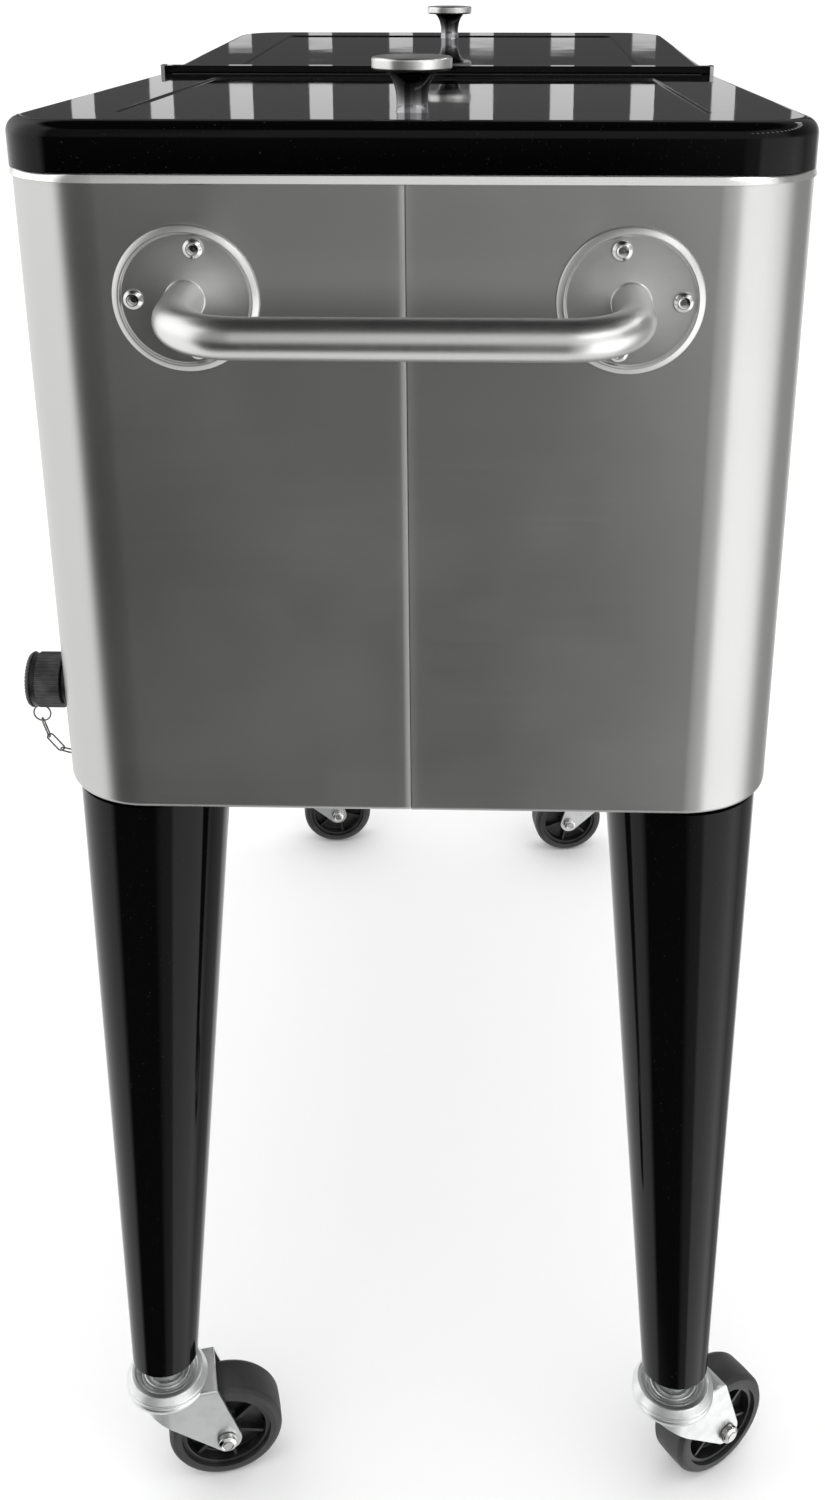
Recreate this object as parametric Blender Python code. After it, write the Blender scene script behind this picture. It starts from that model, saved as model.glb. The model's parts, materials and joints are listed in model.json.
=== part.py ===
# Rolling patio cooler: an insulated steel tub on four tapered legs with swivel casters,
# closed by two lids that hinge at a rail across the middle of the tub.
# Metres, +Z up. The origin is on the floor under the middle of the cooler. X runs across the
# cooler, Y along it, and the drain is on the -X side. "near" is the -Y end, "far" the +Y end.
import math

import bmesh
import bpy
from mathutils import Matrix, Vector

# Fits
FIT_GAP = 0.0003
CUT_OVERRUN = 0.002

# Insulated body
BODY_WIDTH = 0.398
BODY_LENGTH = 0.806
BODY_HEIGHT = 0.338
BODY_CORNER = 0.052
SHELL_SHEET = 0.001
SHELL_FLANGE = 0.014
SHELL_EDGE_RADIUS = 0.003
SEAM_GAP = 0.0004
PAN_SHEET = 0.001
PAN_JOGGLE = 0.0025
PAN_EDGE_INSET = 0.004

# Tub
WALL_THICKNESS = 0.031
TUB_CORNER = 0.030
TUB_FLOOR_RISE = 0.024
TUB_SHEET = 0.001
TUB_FILLET = 0.0025
RIM_HEIGHT = 0.0073
RIM_INSET = 0.0055
RIM_EDGE_RADIUS = 0.0018

# Lids
LID_EDGE_INSET = 0.001
LID_RISE = 0.0283
LID_FALL = 0.008
LID_SKIRT_CLEARANCE = 0.0039
LID_SHEET = 0.0012
LID_EDGE_RADIUS = 0.008
LID_CORNER = 0.042
PANEL_SIDE_INSET = 0.043
PANEL_END_INSET = 0.040
PANEL_INNER_INSET = 0.034
PANEL_DEPTH = 0.002
PANEL_STEP = 0.002
PANEL_CORNER = 0.004
TRAY_SHEET = 0.0015
TRAY_DEPTH = 0.012
TRAY_SIDE_GAP = 0.0008
TRAY_TUB_CLEARANCE = 0.006
TRAY_ROLL_CLEARANCE = 0.001
GASKET_WIDTH = 0.007
GASKET_HEIGHT = 0.004
GASKET_RIM_INSET = 0.009

# Rail across the middle and the lid hinges
RAIL_WEB = 0.010
RAIL_PROUD = 0.005
RAIL_END_INSET = 0.004
BEAM_WIDTH = 0.060
BEAM_DEPTH = 0.014
BEAM_WALL = 0.0025
LID_RAIL_GAP = 0.0015
ROLL_RADIUS = 0.006
ROLL_PROUD = 0.0005
ROD_RADIUS = 0.0025
EAR_WIDTH = 0.0045
EAR_RADIUS = 0.0040
EAR_SIDE_GAP = 0.0008

# Lid knobs
KNOB_SETBACK = 0.060
KNOB_CAP_RADIUS = 0.020
KNOB_CAP_THICKNESS = 0.0066
KNOB_CAP_CROWN = 0.0010
KNOB_CAP_EDGE = 0.0022
KNOB_STEM_HEIGHT = 0.0214
KNOB_WAIST_RADIUS = 0.0078
KNOB_BELL_RADIUS = 0.0150
KNOB_FOOT_FLARE = 0.0006
KNOB_FOOT_SHARE = 0.12
KNOB_WAIST_SHARE = 0.36
KNOB_SCREW_RADIUS = 0.0024
KNOB_SCREW_BITE = 0.012
KNOB_SCREW_HEAD_RADIUS = 0.0052
KNOB_SCREW_HEAD_HEIGHT = 0.0030

# End handles
HANDLE_HEIGHT_SHARE = 0.838
HANDLE_SIDE_SETBACK = 0.092
HANDLE_STANDOFF = 0.065
HANDLE_DROOP = 0.004
HANDLE_TUBE_RADIUS = 0.0096
HANDLE_TUBE_WALL = 0.0014
HANDLE_BEND_RADIUS = 0.026
FLANGE_RADIUS = 0.036
FLANGE_RIM_HEIGHT = 0.0034
FLANGE_RIM_WIDTH = 0.0042
FLANGE_SEAT = 0.0020
FLANGE_DOME_RADIUS = 0.019
FLANGE_DOME_HEIGHT = 0.0046
FLANGE_SHEET = 0.0012
FLANGE_SCREW_CIRCLE = 0.025
FLANGE_SCREW_ANGLE = math.radians(102)
FLANGE_SCREW_RADIUS = 0.0024

# Drain
DRAIN_SETBACK = 0.078
DRAIN_RISE = 0.0155
SPOUT_RADIUS = 0.008
SPOUT_BORE = 0.0055
SPOUT_END_GAP = 0.001
SPOUT_FLANGE_RADIUS = 0.0125
SPOUT_FLANGE_THICKNESS = 0.002
WASHER_THICKNESS = 0.002
WASHER_RADIUS = 0.0118
DRAIN_NUT_RADIUS = 0.0148
DRAIN_NUT_THICKNESS = 0.0090
CAP_RADIUS = 0.0165
CAP_RIB_DEPTH = 0.0009
CAP_LENGTH = 0.0200
CAP_END_WALL = 0.0035
CAP_GROOVE_WIDTH = 0.0036
CAP_GROOVE_DEPTH = 0.0022
CAP_BOSS_RADIUS = 0.0047
CAP_BOSS_HEIGHT = 0.0023
CAP_GROOVE_SHARE = 0.8
RETAINER_WIDTH = 0.0030
RETAINER_WALL = 0.0012
LUG_LENGTH = 0.0036
LUG_WIDTH = 0.0036
LUG_HOLE = 0.0011

# Cap chain
CHAIN_WIRE = 0.0010
SPLIT_RING_RADIUS = 0.0050
LINK_PITCH = 0.0115
LINK_WIDTH = 0.0050
LINK_SLOPES = [math.radians(-75), math.radians(-55), math.radians(-20), math.radians(15)]
CHAIN_YAW = math.radians(8)
EYE_RADIUS = 0.0028
EYE_SHANK_LENGTH = 0.006
EYE_SHANK_RADIUS = 0.0007

# Legs
LEG_LENGTH = 0.4107
LEG_TOP_RADIUS = 0.043
LEG_FOOT_RADIUS = 0.021
LEG_WALL = 0.0016
LEG_INSET = 0.005
LEG_SPLAY_ACROSS = 0.0146
LEG_SPLAY_ALONG = 0.042
LEG_PLATE_THICKNESS = 0.003
LEG_PLATE_OUTER = 0.036
LEG_PLATE_INNER = 0.067
LEG_PLATE_CORNER = 0.012
LEG_BOLT_INNER = 0.055
LEG_BOLT_OUTER = 0.020
LEG_BOLT_RADIUS = 0.0039
LEG_PLUG_HEIGHT = 0.022
LEG_PLUG_RECESS = 0.0004

# Casters
CASTER_HEIGHT = 0.106
CASTER_TRAIL = 0.035
WHEEL_RADIUS = 0.0375
TYRE_WIDTH = 0.0285
TYRE_THICKNESS = 0.0080
TYRE_SHOULDER = 0.0030
HUB_WIDTH = 0.024
HUB_RECESS = 0.0075
HUB_RIM = 0.0035
HUB_BOSS_RADIUS = 0.0095
AXLE_RADIUS = 0.004
AXLE_HEAD_RADIUS = 0.0064
AXLE_HEAD_THICKNESS = 0.0050
FORK_SHEET = 0.0024
FORK_SIDE_GAP = 0.0016
FORK_TOP_RADIUS = 0.0265
FORK_TOP_HEIGHT = 0.0840
FORK_EYE_RADIUS = 0.0098
FORK_REAR_LEAN = 0.004
FORK_EYE_START = math.radians(238)
FORK_EYE_END = math.radians(372)
FORK_SKIRT = 0.013
RACE_RADIUS = 0.0260
RACE_HEIGHT = 0.0065
RACE_SHEET = 0.0022
RACE_DISH_RADIUS = 0.0185
RACE_RUN_GAP = 0.0005
KINGPIN_RADIUS = 0.0055
KINGPIN_HEAD_RADIUS = 0.0085
KINGPIN_HEAD_HEIGHT = 0.0030
STEM_NUT_RADIUS = 0.0105
STEM_RADIUS = 0.0048
STEM_BITE = 0.018

# Screw holes at the rail's ends
RAIL_SCREW_RADIUS = 0.002
RAIL_SCREW_SPACING = 0.030

# How the round shapes are divided
CORNER_STEPS = 5
EDGE_STEPS = 2
ROUND_SIDES = 20
WIDE_SIDES = 24
SMALL_SIDES = 16
SCREW_SIDES = 8
TUBE_SIDES = 12
WIRE_SIDES = 5
BEND_STEPS = 4
FORK_EYE_STEPS = 6
EAR_STEPS = 9
FLARE_STEPS = 4
LINK_STEPS = 4
CAP_RIBS = 14

# Heights and places that follow from the sizes above
BODY_BOTTOM = CASTER_HEIGHT + LEG_LENGTH
BODY_TOP = BODY_BOTTOM + BODY_HEIGHT
RIM_TOP = BODY_TOP + RIM_HEIGHT
LID_WIDTH = BODY_WIDTH - 2 * LID_EDGE_INSET
LID_LENGTH = BODY_LENGTH - 2 * LID_EDGE_INSET
HANDLE_SPACING = BODY_WIDTH - 2 * HANDLE_SIDE_SETBACK
TUB_FLOOR = BODY_BOTTOM + TUB_FLOOR_RISE
FOAM_SPLIT = TUB_FLOOR - TUB_SHEET - FIT_GAP
TUB_HALF_WIDTH = BODY_WIDTH / 2 - WALL_THICKNESS
TUB_HALF_LENGTH = BODY_LENGTH / 2 - WALL_THICKNESS
LID_TOP = BODY_TOP + LID_RISE
HINGE_OFFSET = RAIL_WEB / 2 + LID_RAIL_GAP + ROLL_RADIUS
HINGE_HEIGHT = LID_TOP - LID_FALL - ROLL_RADIUS + ROLL_PROUD
EAR_OUTER = LID_WIDTH / 2 - LID_EDGE_RADIUS
EAR_INNER = EAR_OUTER - EAR_WIDTH
TRAY_SEAT = RIM_TOP + GASKET_HEIGHT + FIT_GAP + FIT_GAP
HANDLE_HEIGHT = BODY_BOTTOM + BODY_HEIGHT * HANDLE_HEIGHT_SHARE
DRAIN_Y = DRAIN_SETBACK - BODY_LENGTH / 2
DRAIN_Z = TUB_FLOOR + DRAIN_RISE
CAP_START = DRAIN_NUT_THICKNESS + FIT_GAP
GROOVE_MIDDLE = CAP_START + CAP_LENGTH * CAP_GROOVE_SHARE
RETAINER_INNER = CAP_RADIUS - CAP_GROOVE_DEPTH + FIT_GAP
LUG_HOLE_Z = DRAIN_Z - RETAINER_INNER - RETAINER_WALL / 2 - LUG_LENGTH + LUG_WIDTH / 2
SPLIT_RING_Z = LUG_HOLE_Z - LUG_HOLE / 5 - SPLIT_RING_RADIUS
CHAIN_Z = SPLIT_RING_Z - SPLIT_RING_RADIUS
LINK_HOOK = CHAIN_WIRE + 2 * FIT_GAP
LEG_TOP_X = BODY_WIDTH / 2 - LEG_INSET - LEG_TOP_RADIUS
LEG_TOP_Y = BODY_LENGTH / 2 - LEG_INSET - LEG_TOP_RADIUS
LEG_FOOT_X = LEG_TOP_X + LEG_SPLAY_ACROSS
LEG_FOOT_Y = LEG_TOP_Y + LEG_SPLAY_ALONG

# Each caster rests turned as it was last rolled: side across, side along, heading
CASTERS = {
    "near_left": (-1, -1, math.radians(14)),
    "near_right": (1, -1, math.radians(36)),
    "far_left": (-1, 1, math.radians(8)),
    "far_right": (1, 1, math.radians(190)),
}
ENDS = {"near": -1, "far": 1}

for old_object in list(bpy.data.objects):
    bpy.data.objects.remove(old_object, do_unlink=True)


def material(name, colour, roughness, metallic):
    made = bpy.data.materials.new(name)
    made.use_nodes = True
    shader = made.node_tree.nodes["Principled BSDF"]
    shader.inputs["Base Color"].default_value = (*colour, 1)
    shader.inputs["Roughness"].default_value = roughness
    shader.inputs["Metallic"].default_value = metallic
    return made


BRUSHED_STEEL = material("brushed_steel", (0.55, 0.55, 0.54), 0.30, 1)
BRIGHT_STEEL = material("bright_steel", (0.62, 0.62, 0.62), 0.18, 1)
CHROME = material("chrome", (0.25, 0.25, 0.26), 0.06, 1)
ZINC = material("zinc", (0.66, 0.67, 0.67), 0.28, 1)
GLOSS_BLACK = material("gloss_black", (0.006, 0.006, 0.006), 0.06, 0)
BLACK_PLASTIC = material("black_plastic", (0.012, 0.012, 0.013), 0.35, 0)
GREY_RUBBER = material("grey_rubber", (0.045, 0.045, 0.047), 0.6, 0)
SOFT_BLACK = material("soft_black", (0.02, 0.02, 0.02), 0.7, 0)
FOAM = material("foam", (0.75, 0.70, 0.52), 0.9, 0)


def make_object(name, work, finish, smooth_angle=None):
    """Turn a bmesh into a named object with one material."""
    bmesh.ops.recalc_face_normals(work, faces=work.faces)
    mesh = bpy.data.meshes.new(name)
    work.to_mesh(mesh)
    work.free()
    if smooth_angle is not None:
        mesh.shade_smooth()
        mesh.set_sharp_from_angle(angle=smooth_angle)
    mesh.materials.append(finish)
    made = bpy.data.objects.new(name, mesh)
    bpy.context.scene.collection.objects.link(made)
    return made


def make_cutter(name, work):
    """A guide for a Boolean: it is seen as wire and is not a piece of the cooler."""
    made = make_object(name, work, BLACK_PLASTIC)
    made.hide_render = True
    made.display_type = "WIRE"
    return made


def use_boolean(target, tool, operation):
    step = target.modifiers.new(operation.lower(), "BOOLEAN")
    step.operation = operation
    step.object = tool
    step.solver = "EXACT"


def hang_on(pivot, *pieces):
    """Give pieces drawn in place the pivot as their parent, with their origins on it."""
    for piece in pieces:
        piece.data.transform(Matrix.Translation(-pivot.location))
        piece.parent = pivot


def make_pivot(name, place, turn=0, parent=None):
    pivot = bpy.data.objects.new(name, None)
    bpy.context.scene.collection.objects.link(pivot)
    pivot.location = place
    pivot.rotation_euler = (0, 0, turn)
    pivot.parent = parent
    return pivot


def add_rings(work, rings, closed=False):
    """Skin rings of points with equal counts; open chains are capped at both ends."""
    rows = [[work.verts.new(point) for point in ring] for ring in rings]
    pairs = list(zip(rows, rows[1:]))
    if closed:
        pairs.append((rows[-1], rows[0]))
    for lower, upper in pairs:
        for i in range(len(lower)):
            j = (i + 1) % len(lower)
            work.faces.new((lower[i], lower[j], upper[j], upper[i]))
    if not closed:
        work.faces.new(rows[0])
        work.faces.new(rows[-1])


def rounded_rectangle(x_low, x_high, y_low, y_high, radii):
    """Plan outline, anticlockwise from the +X +Y corner. radii follows the same order."""
    corners = [(x_high, y_high), (x_low, y_high), (x_low, y_low), (x_high, y_low)]
    outline = []
    for quarter, ((x, y), radius) in enumerate(zip(corners, radii)):
        middle_x = x - math.copysign(radius, x - (x_low + x_high) / 2)
        middle_y = y - math.copysign(radius, y - (y_low + y_high) / 2)
        for step in range(CORNER_STEPS + 1):
            angle = math.pi / 2 * (quarter + step / CORNER_STEPS)
            outline.append((middle_x + radius * math.cos(angle), middle_y + radius * math.sin(angle)))
    return outline


def box_outline(half_width, half_length, radius):
    return rounded_rectangle(-half_width, half_width, -half_length, half_length, [radius] * 4)


def at_height(outline, height):
    return [Vector((x, y, height)) for x, y in outline]


def turned(work, profile, sides, place=Matrix.Identity(4)):
    """Turn a closed (radius, height) profile about Z. A zero radius is a point on the axis."""
    rows = []
    for radius, height in profile:
        if radius == 0:
            rows.append([work.verts.new(place @ Vector((0, 0, height)))])
            continue
        row = []
        for side in range(sides):
            angle = math.tau * side / sides
            point = Vector((radius * math.cos(angle), radius * math.sin(angle), height))
            row.append(work.verts.new(place @ point))
        rows.append(row)
    for row, after in zip(rows, rows[1:] + rows[:1]):
        if len(row) == 1 and len(after) == 1:
            continue
        for i in range(sides):
            j = (i + 1) % sides
            corners = [row[i % len(row)], row[j % len(row)], after[j % len(after)], after[i % len(after)]]
            work.faces.new(list(dict.fromkeys(corners)))


def solid_round(radius, low, high):
    return [(0, low), (radius, low), (radius, high), (0, high)]


def facing(place, direction):
    """A frame at place whose Z axis points along direction."""
    turn = Vector((0, 0, 1)).rotation_difference(Vector(direction)).to_matrix().to_4x4()
    return Matrix.Translation(place) @ turn


def cut_round(target, name, places, radius, low, high, sides=SCREW_SIDES):
    """Bore round holes of one radius at several frames, along each frame's Z axis."""
    work = bmesh.new()
    for place in places:
        turned(work, solid_round(radius, low, high), sides, place)
    use_boolean(target, make_cutter(name, work), "DIFFERENCE")


def add_box(work, low, high):
    corners = bmesh.ops.create_cube(work, size=1)["verts"]
    middle = (Vector(low) + Vector(high)) / 2
    size = Vector(high) - Vector(low)
    bmesh.ops.scale(work, vec=size, verts=corners)
    bmesh.ops.translate(work, vec=middle, verts=corners)


def arc(middle_a, middle_b, radius, start, end, steps):
    return [
        (
            middle_a + radius * math.cos(start + (end - start) * step / steps),
            middle_b + radius * math.sin(start + (end - start) * step / steps),
        )
        for step in range(steps + 1)
    ]


def sweep(work, path, radius, sides, up, closed=False, bore=None):
    """A round bar or tube along a path. up is square to a flat path's plane."""
    rings = []
    inner_rings = []
    count = len(path)
    for i, point in enumerate(path):
        before = path[(i - 1) % count] if closed or i else path[0]
        after = path[(i + 1) % count] if closed or i + 1 < count else path[-1]
        along = (after - before).normalized()
        across = along.cross(up).normalized()
        rise = across.cross(along)
        turns = [math.tau * k / sides for k in range(sides)]
        for rows, size in ((rings, radius), (inner_rings, bore)):
            if size is not None:
                rows.append([
                    point + across * size * math.cos(turn) + rise * size * math.sin(turn) for turn in turns
                ])
    if bore is None:
        add_rings(work, rings, closed)
    else:
        add_rings(work, rings + inner_rings[::-1], True)


def shell_half(name, side):
    """One wrap of the outer wall: a long side and half of each end, with turned-in flanges."""
    radius = SHELL_EDGE_RADIUS
    sheet = SHELL_SHEET
    tight = radius - sheet
    outer = [(SHELL_FLANGE, 0)] + arc(radius, radius, radius, -math.pi / 2, -math.pi, EDGE_STEPS)
    outer += arc(radius, BODY_HEIGHT - radius, radius, math.pi, math.pi / 2, EDGE_STEPS)
    outer += [(SHELL_FLANGE, BODY_HEIGHT)]
    inner = [(SHELL_FLANGE, BODY_HEIGHT - sheet)]
    inner += arc(radius, BODY_HEIGHT - radius, tight, math.pi / 2, math.pi, 2)
    inner += arc(radius, radius, tight, math.pi, math.pi * 3 / 2, 2) + [(SHELL_FLANGE, sheet)]
    rings = []
    for end in (-1, 1):
        for step in range(CORNER_STEPS + 1):
            share = step / CORNER_STEPS if end < 0 else 1 - step / CORNER_STEPS
            rings.append((end, share))
    sections = []
    for inset, height in outer + inner:
        middle_x = BODY_WIDTH / 2 - BODY_CORNER
        middle_y = BODY_LENGTH / 2 - BODY_CORNER
        bend = BODY_CORNER - inset
        z = BODY_BOTTOM + height
        line = [(SEAM_GAP / 2, -BODY_LENGTH / 2 + inset)]
        for end, share in rings:
            angle = math.pi / 2 * share
            line.append((middle_x + bend * math.sin(angle), end * (middle_y + bend * math.cos(angle))))
        line.append((SEAM_GAP / 2, BODY_LENGTH / 2 - inset))
        sections.append([Vector((side * x, y, z)) for x, y in line])
    work = bmesh.new()
    add_rings(work, [list(ring) for ring in zip(*sections)])
    return make_object(name, work, BRUSHED_STEEL, math.radians(20))


def body_ring(inset, height):
    """A level ring that follows the body's outline, set in by inset."""
    outline = box_outline(BODY_WIDTH / 2 - inset, BODY_LENGTH / 2 - inset, BODY_CORNER - inset)
    return at_height(outline, height)


def tub_ring(outset, height, radius=None):
    """A level ring that follows the tub's inner outline, set out by outset."""
    corner = TUB_CORNER + outset if radius is None else radius
    return at_height(box_outline(TUB_HALF_WIDTH + outset, TUB_HALF_LENGTH + outset, corner), height)


def make_bottom_pan():
    rim_low = BODY_BOTTOM + SHELL_SHEET + FIT_GAP
    step_in = SHELL_FLANGE + 2 * FIT_GAP
    work = bmesh.new()
    add_rings(work, [
        body_ring(step_in + PAN_JOGGLE + PAN_SHEET, BODY_BOTTOM + PAN_SHEET),
        body_ring(step_in + PAN_SHEET, rim_low + PAN_SHEET),
        body_ring(PAN_EDGE_INSET, rim_low + PAN_SHEET),
        body_ring(PAN_EDGE_INSET, rim_low),
        body_ring(step_in, rim_low),
        body_ring(step_in + PAN_JOGGLE, BODY_BOTTOM),
    ])
    return make_object("bottom_pan", work, BRUSHED_STEEL)


def make_tub():
    """Pressed tub: floor, walls and a rim that turns out and down onto the body's top."""
    reach = WALL_THICKNESS - RIM_INSET
    rim_corner = BODY_CORNER - RIM_INSET
    sheet = TUB_SHEET
    skirt_low = BODY_TOP + FIT_GAP
    work = bmesh.new()
    rings = []
    for inset, height in arc(TUB_FILLET, TUB_FILLET, TUB_FILLET, math.pi * 3 / 2, math.pi, EDGE_STEPS):
        rings.append(tub_ring(-inset, TUB_FLOOR + height))
    rings.append(tub_ring(0, RIM_TOP - RIM_EDGE_RADIUS))
    rings.append(tub_ring(RIM_EDGE_RADIUS, RIM_TOP))
    for inset, height in arc(RIM_EDGE_RADIUS, -RIM_EDGE_RADIUS, RIM_EDGE_RADIUS, math.pi / 2, math.pi, 2):
        rings.append(tub_ring(reach - inset, RIM_TOP + height, rim_corner - inset))
    rings.append(tub_ring(reach, skirt_low, rim_corner))
    rings.append(tub_ring(reach - sheet, skirt_low, rim_corner - sheet))
    rings.append(tub_ring(reach - sheet, RIM_TOP - RIM_EDGE_RADIUS, rim_corner - sheet))
    rings.append(tub_ring(reach - RIM_EDGE_RADIUS, RIM_TOP - sheet, rim_corner - RIM_EDGE_RADIUS))
    rings.append(tub_ring(RIM_EDGE_RADIUS, RIM_TOP - sheet))
    rings.append(tub_ring(sheet, RIM_TOP - RIM_EDGE_RADIUS))
    outer_fillet = TUB_FILLET + sheet
    quarter = arc(outer_fillet, outer_fillet, outer_fillet, math.pi, math.pi * 3 / 2, EDGE_STEPS)
    for inset, height in quarter:
        rings.append(tub_ring(sheet - inset, TUB_FLOOR - sheet + height))
    add_rings(work, rings)
    return make_object("tub", work, BRUSHED_STEEL, math.radians(25))


def make_floor_foam():
    """A board of rigid foam between the bottom pan and the tub's floor."""
    skin = SHELL_SHEET + FIT_GAP
    bevel = SHELL_EDGE_RADIUS
    pan_rim_top = BODY_BOTTOM + SHELL_SHEET + PAN_SHEET + 2 * FIT_GAP
    step_in = SHELL_FLANGE + 2 * FIT_GAP + PAN_JOGGLE + PAN_SHEET + 2 * FIT_GAP
    work = bmesh.new()
    add_rings(work, [
        body_ring(step_in + PAN_JOGGLE, BODY_BOTTOM + PAN_SHEET + FIT_GAP),
        body_ring(step_in, pan_rim_top),
        body_ring(skin + bevel, pan_rim_top),
        body_ring(skin, pan_rim_top + bevel),
        body_ring(skin, FOAM_SPLIT),
    ])
    return make_object("floor_foam", work, FOAM)


def make_wall_foam():
    """Rigid foam round the tub's walls. Its inner corners are square behind the tub's round ones."""
    skin = SHELL_SHEET + FIT_GAP
    bevel = SHELL_EDGE_RADIUS
    under_flange = BODY_TOP - SHELL_SHEET - FIT_GAP
    under_rim = RIM_TOP - TUB_SHEET - FIT_GAP - RIM_EDGE_RADIUS
    tub_side = TUB_SHEET + FIT_GAP
    low = FOAM_SPLIT + FIT_GAP
    work = bmesh.new()
    add_rings(work, [
        body_ring(skin, low),
        body_ring(skin, under_flange - bevel),
        body_ring(skin + bevel, under_flange),
        body_ring(SHELL_FLANGE + FIT_GAP, under_flange),
        body_ring(SHELL_FLANGE + FIT_GAP, under_rim),
    ])
    foam = make_object("wall_foam", work, FOAM)
    inside_x = TUB_HALF_WIDTH + tub_side
    inside_y = TUB_HALF_LENGTH + tub_side
    space = bmesh.new()
    above = under_rim + CUT_OVERRUN
    add_box(space, (-inside_x, -inside_y, low - CUT_OVERRUN), (inside_x, inside_y, above))
    use_boolean(foam, make_cutter("tub_space", space), "DIFFERENCE")
    return foam


def flange_frames():
    """Frames at the centres of the four handle flanges, Z pointing away from the body."""
    return [
        (end, side, facing((side * HANDLE_SPACING / 2, end * BODY_LENGTH / 2, HANDLE_HEIGHT), (0, end, 0)))
        for end in ENDS.values()
        for side in (-1, 1)
    ]


def flange_screw_frames(end_wanted=None):
    """Each flange has a screw at its outer side and one above and below the tube."""
    frames = []
    for end, side, _ in flange_frames():
        if end_wanted not in (None, end):
            continue
        for angle in (0, FLANGE_SCREW_ANGLE, -FLANGE_SCREW_ANGLE):
            x = side * (HANDLE_SPACING / 2 + FLANGE_SCREW_CIRCLE * math.cos(angle))
            z = HANDLE_HEIGHT + FLANGE_SCREW_CIRCLE * math.sin(angle)
            frames.append(facing((x, end * BODY_LENGTH / 2, z), (0, end, 0)))
    return frames


def leg_bolt_frames():
    frames = []
    for across, along, _ in CASTERS.values():
        for inner_x, inner_y in ((1, 1), (1, 0), (0, 1)):
            x = LEG_TOP_X + (-LEG_BOLT_INNER if inner_x else LEG_BOLT_OUTER)
            y = LEG_TOP_Y + (-LEG_BOLT_INNER if inner_y else LEG_BOLT_OUTER)
            frames.append(Matrix.Translation((across * x, along * y, BODY_BOTTOM)))
    return frames


def rail_screw_frames():
    """Frames on the beam's end walls, Z pointing out through the tub wall."""
    height = RIM_TOP - BEAM_DEPTH / 2
    inside_x = TUB_HALF_WIDTH - FIT_GAP - BEAM_WALL
    return [
        facing((side * inside_x, along * RAIL_SCREW_SPACING / 2, height), (side, 0, 0))
        for side in (-1, 1)
        for along in (-1, 1)
    ]


DRAIN_FRAME = facing((-BODY_WIDTH / 2, DRAIN_Y, DRAIN_Z), (-1, 0, 0))


def chain_joints():
    """Where the oval links meet, on a line that hangs from the split ring to the eye."""
    level = Vector((math.cos(CHAIN_YAW), math.sin(CHAIN_YAW), 0))
    headings = [level * math.cos(slope) + Vector((0, 0, math.sin(slope))) for slope in LINK_SLOPES]
    start = Vector((-BODY_WIDTH / 2 - GROOVE_MIDDLE, DRAIN_Y, CHAIN_Z))
    joints = [start - headings[0] * LINK_HOOK / 2]
    for heading in headings:
        joints.append(joints[-1] + heading * LINK_PITCH)
    return joints, headings


CHAIN_JOINTS, CHAIN_HEADINGS = chain_joints()
EYE_MIDDLE = CHAIN_JOINTS[-1] - CHAIN_HEADINGS[-1] * LINK_HOOK / 2 + Vector((0, 0, EYE_RADIUS))
EYE_FRAME = facing((EYE_MIDDLE.x, EYE_MIDDLE.y, BODY_BOTTOM), (0, 0, -1))

# Outer wall, bottom, tub and insulation
shell_left = shell_half("shell_left", -1)
shell_right = shell_half("shell_right", 1)
bottom_pan = make_bottom_pan()
tub = make_tub()
floor_foam = make_floor_foam()
wall_foam = make_wall_foam()

screw_hole = FLANGE_SCREW_RADIUS + FIT_GAP
screw_depth = SHELL_SHEET + CUT_OVERRUN
screw_places = flange_screw_frames()
for shell in (shell_left, shell_right):
    cut_round(shell, shell.name + "_screw_holes", screw_places, screw_hole, -screw_depth, CUT_OVERRUN)

bolt_hole = LEG_BOLT_RADIUS + FIT_GAP
bolt_reach = PAN_JOGGLE + PAN_SHEET + CUT_OVERRUN
cut_round(bottom_pan, "pan_bolt_holes", leg_bolt_frames(), bolt_hole, -CUT_OVERRUN, bolt_reach)

rail_hole = RAIL_SCREW_RADIUS + FIT_GAP
rail_hole_end = BEAM_WALL + TUB_SHEET + CUT_OVERRUN
cut_round(tub, "tub_screw_holes", rail_screw_frames(), rail_hole, 0, rail_hole_end)

spout_hole = SPOUT_RADIUS + FIT_GAP
spout_back = -(WALL_THICKNESS + CUT_OVERRUN)
cut_round(shell_left, "shell_drain_hole", [DRAIN_FRAME], spout_hole, spout_back, CUT_OVERRUN, ROUND_SIDES)
cut_round(wall_foam, "foam_drain_hole", [DRAIN_FRAME], spout_hole, spout_back, CUT_OVERRUN, ROUND_SIDES)
cut_round(tub, "tub_drain_hole", [DRAIN_FRAME], spout_hole, spout_back, CUT_OVERRUN, ROUND_SIDES)
eye_hole = EYE_SHANK_RADIUS + FIT_GAP
eye_hole_end = -EYE_SHANK_LENGTH - FIT_GAP
cut_round(shell_left, "shell_eye_hole", [EYE_FRAME], eye_hole, eye_hole_end, CUT_OVERRUN)
cut_round(bottom_pan, "pan_eye_hole", [EYE_FRAME], eye_hole, eye_hole_end, CUT_OVERRUN)
cut_round(floor_foam, "foam_eye_hole", [EYE_FRAME], eye_hole, eye_hole_end, CUT_OVERRUN)


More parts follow.
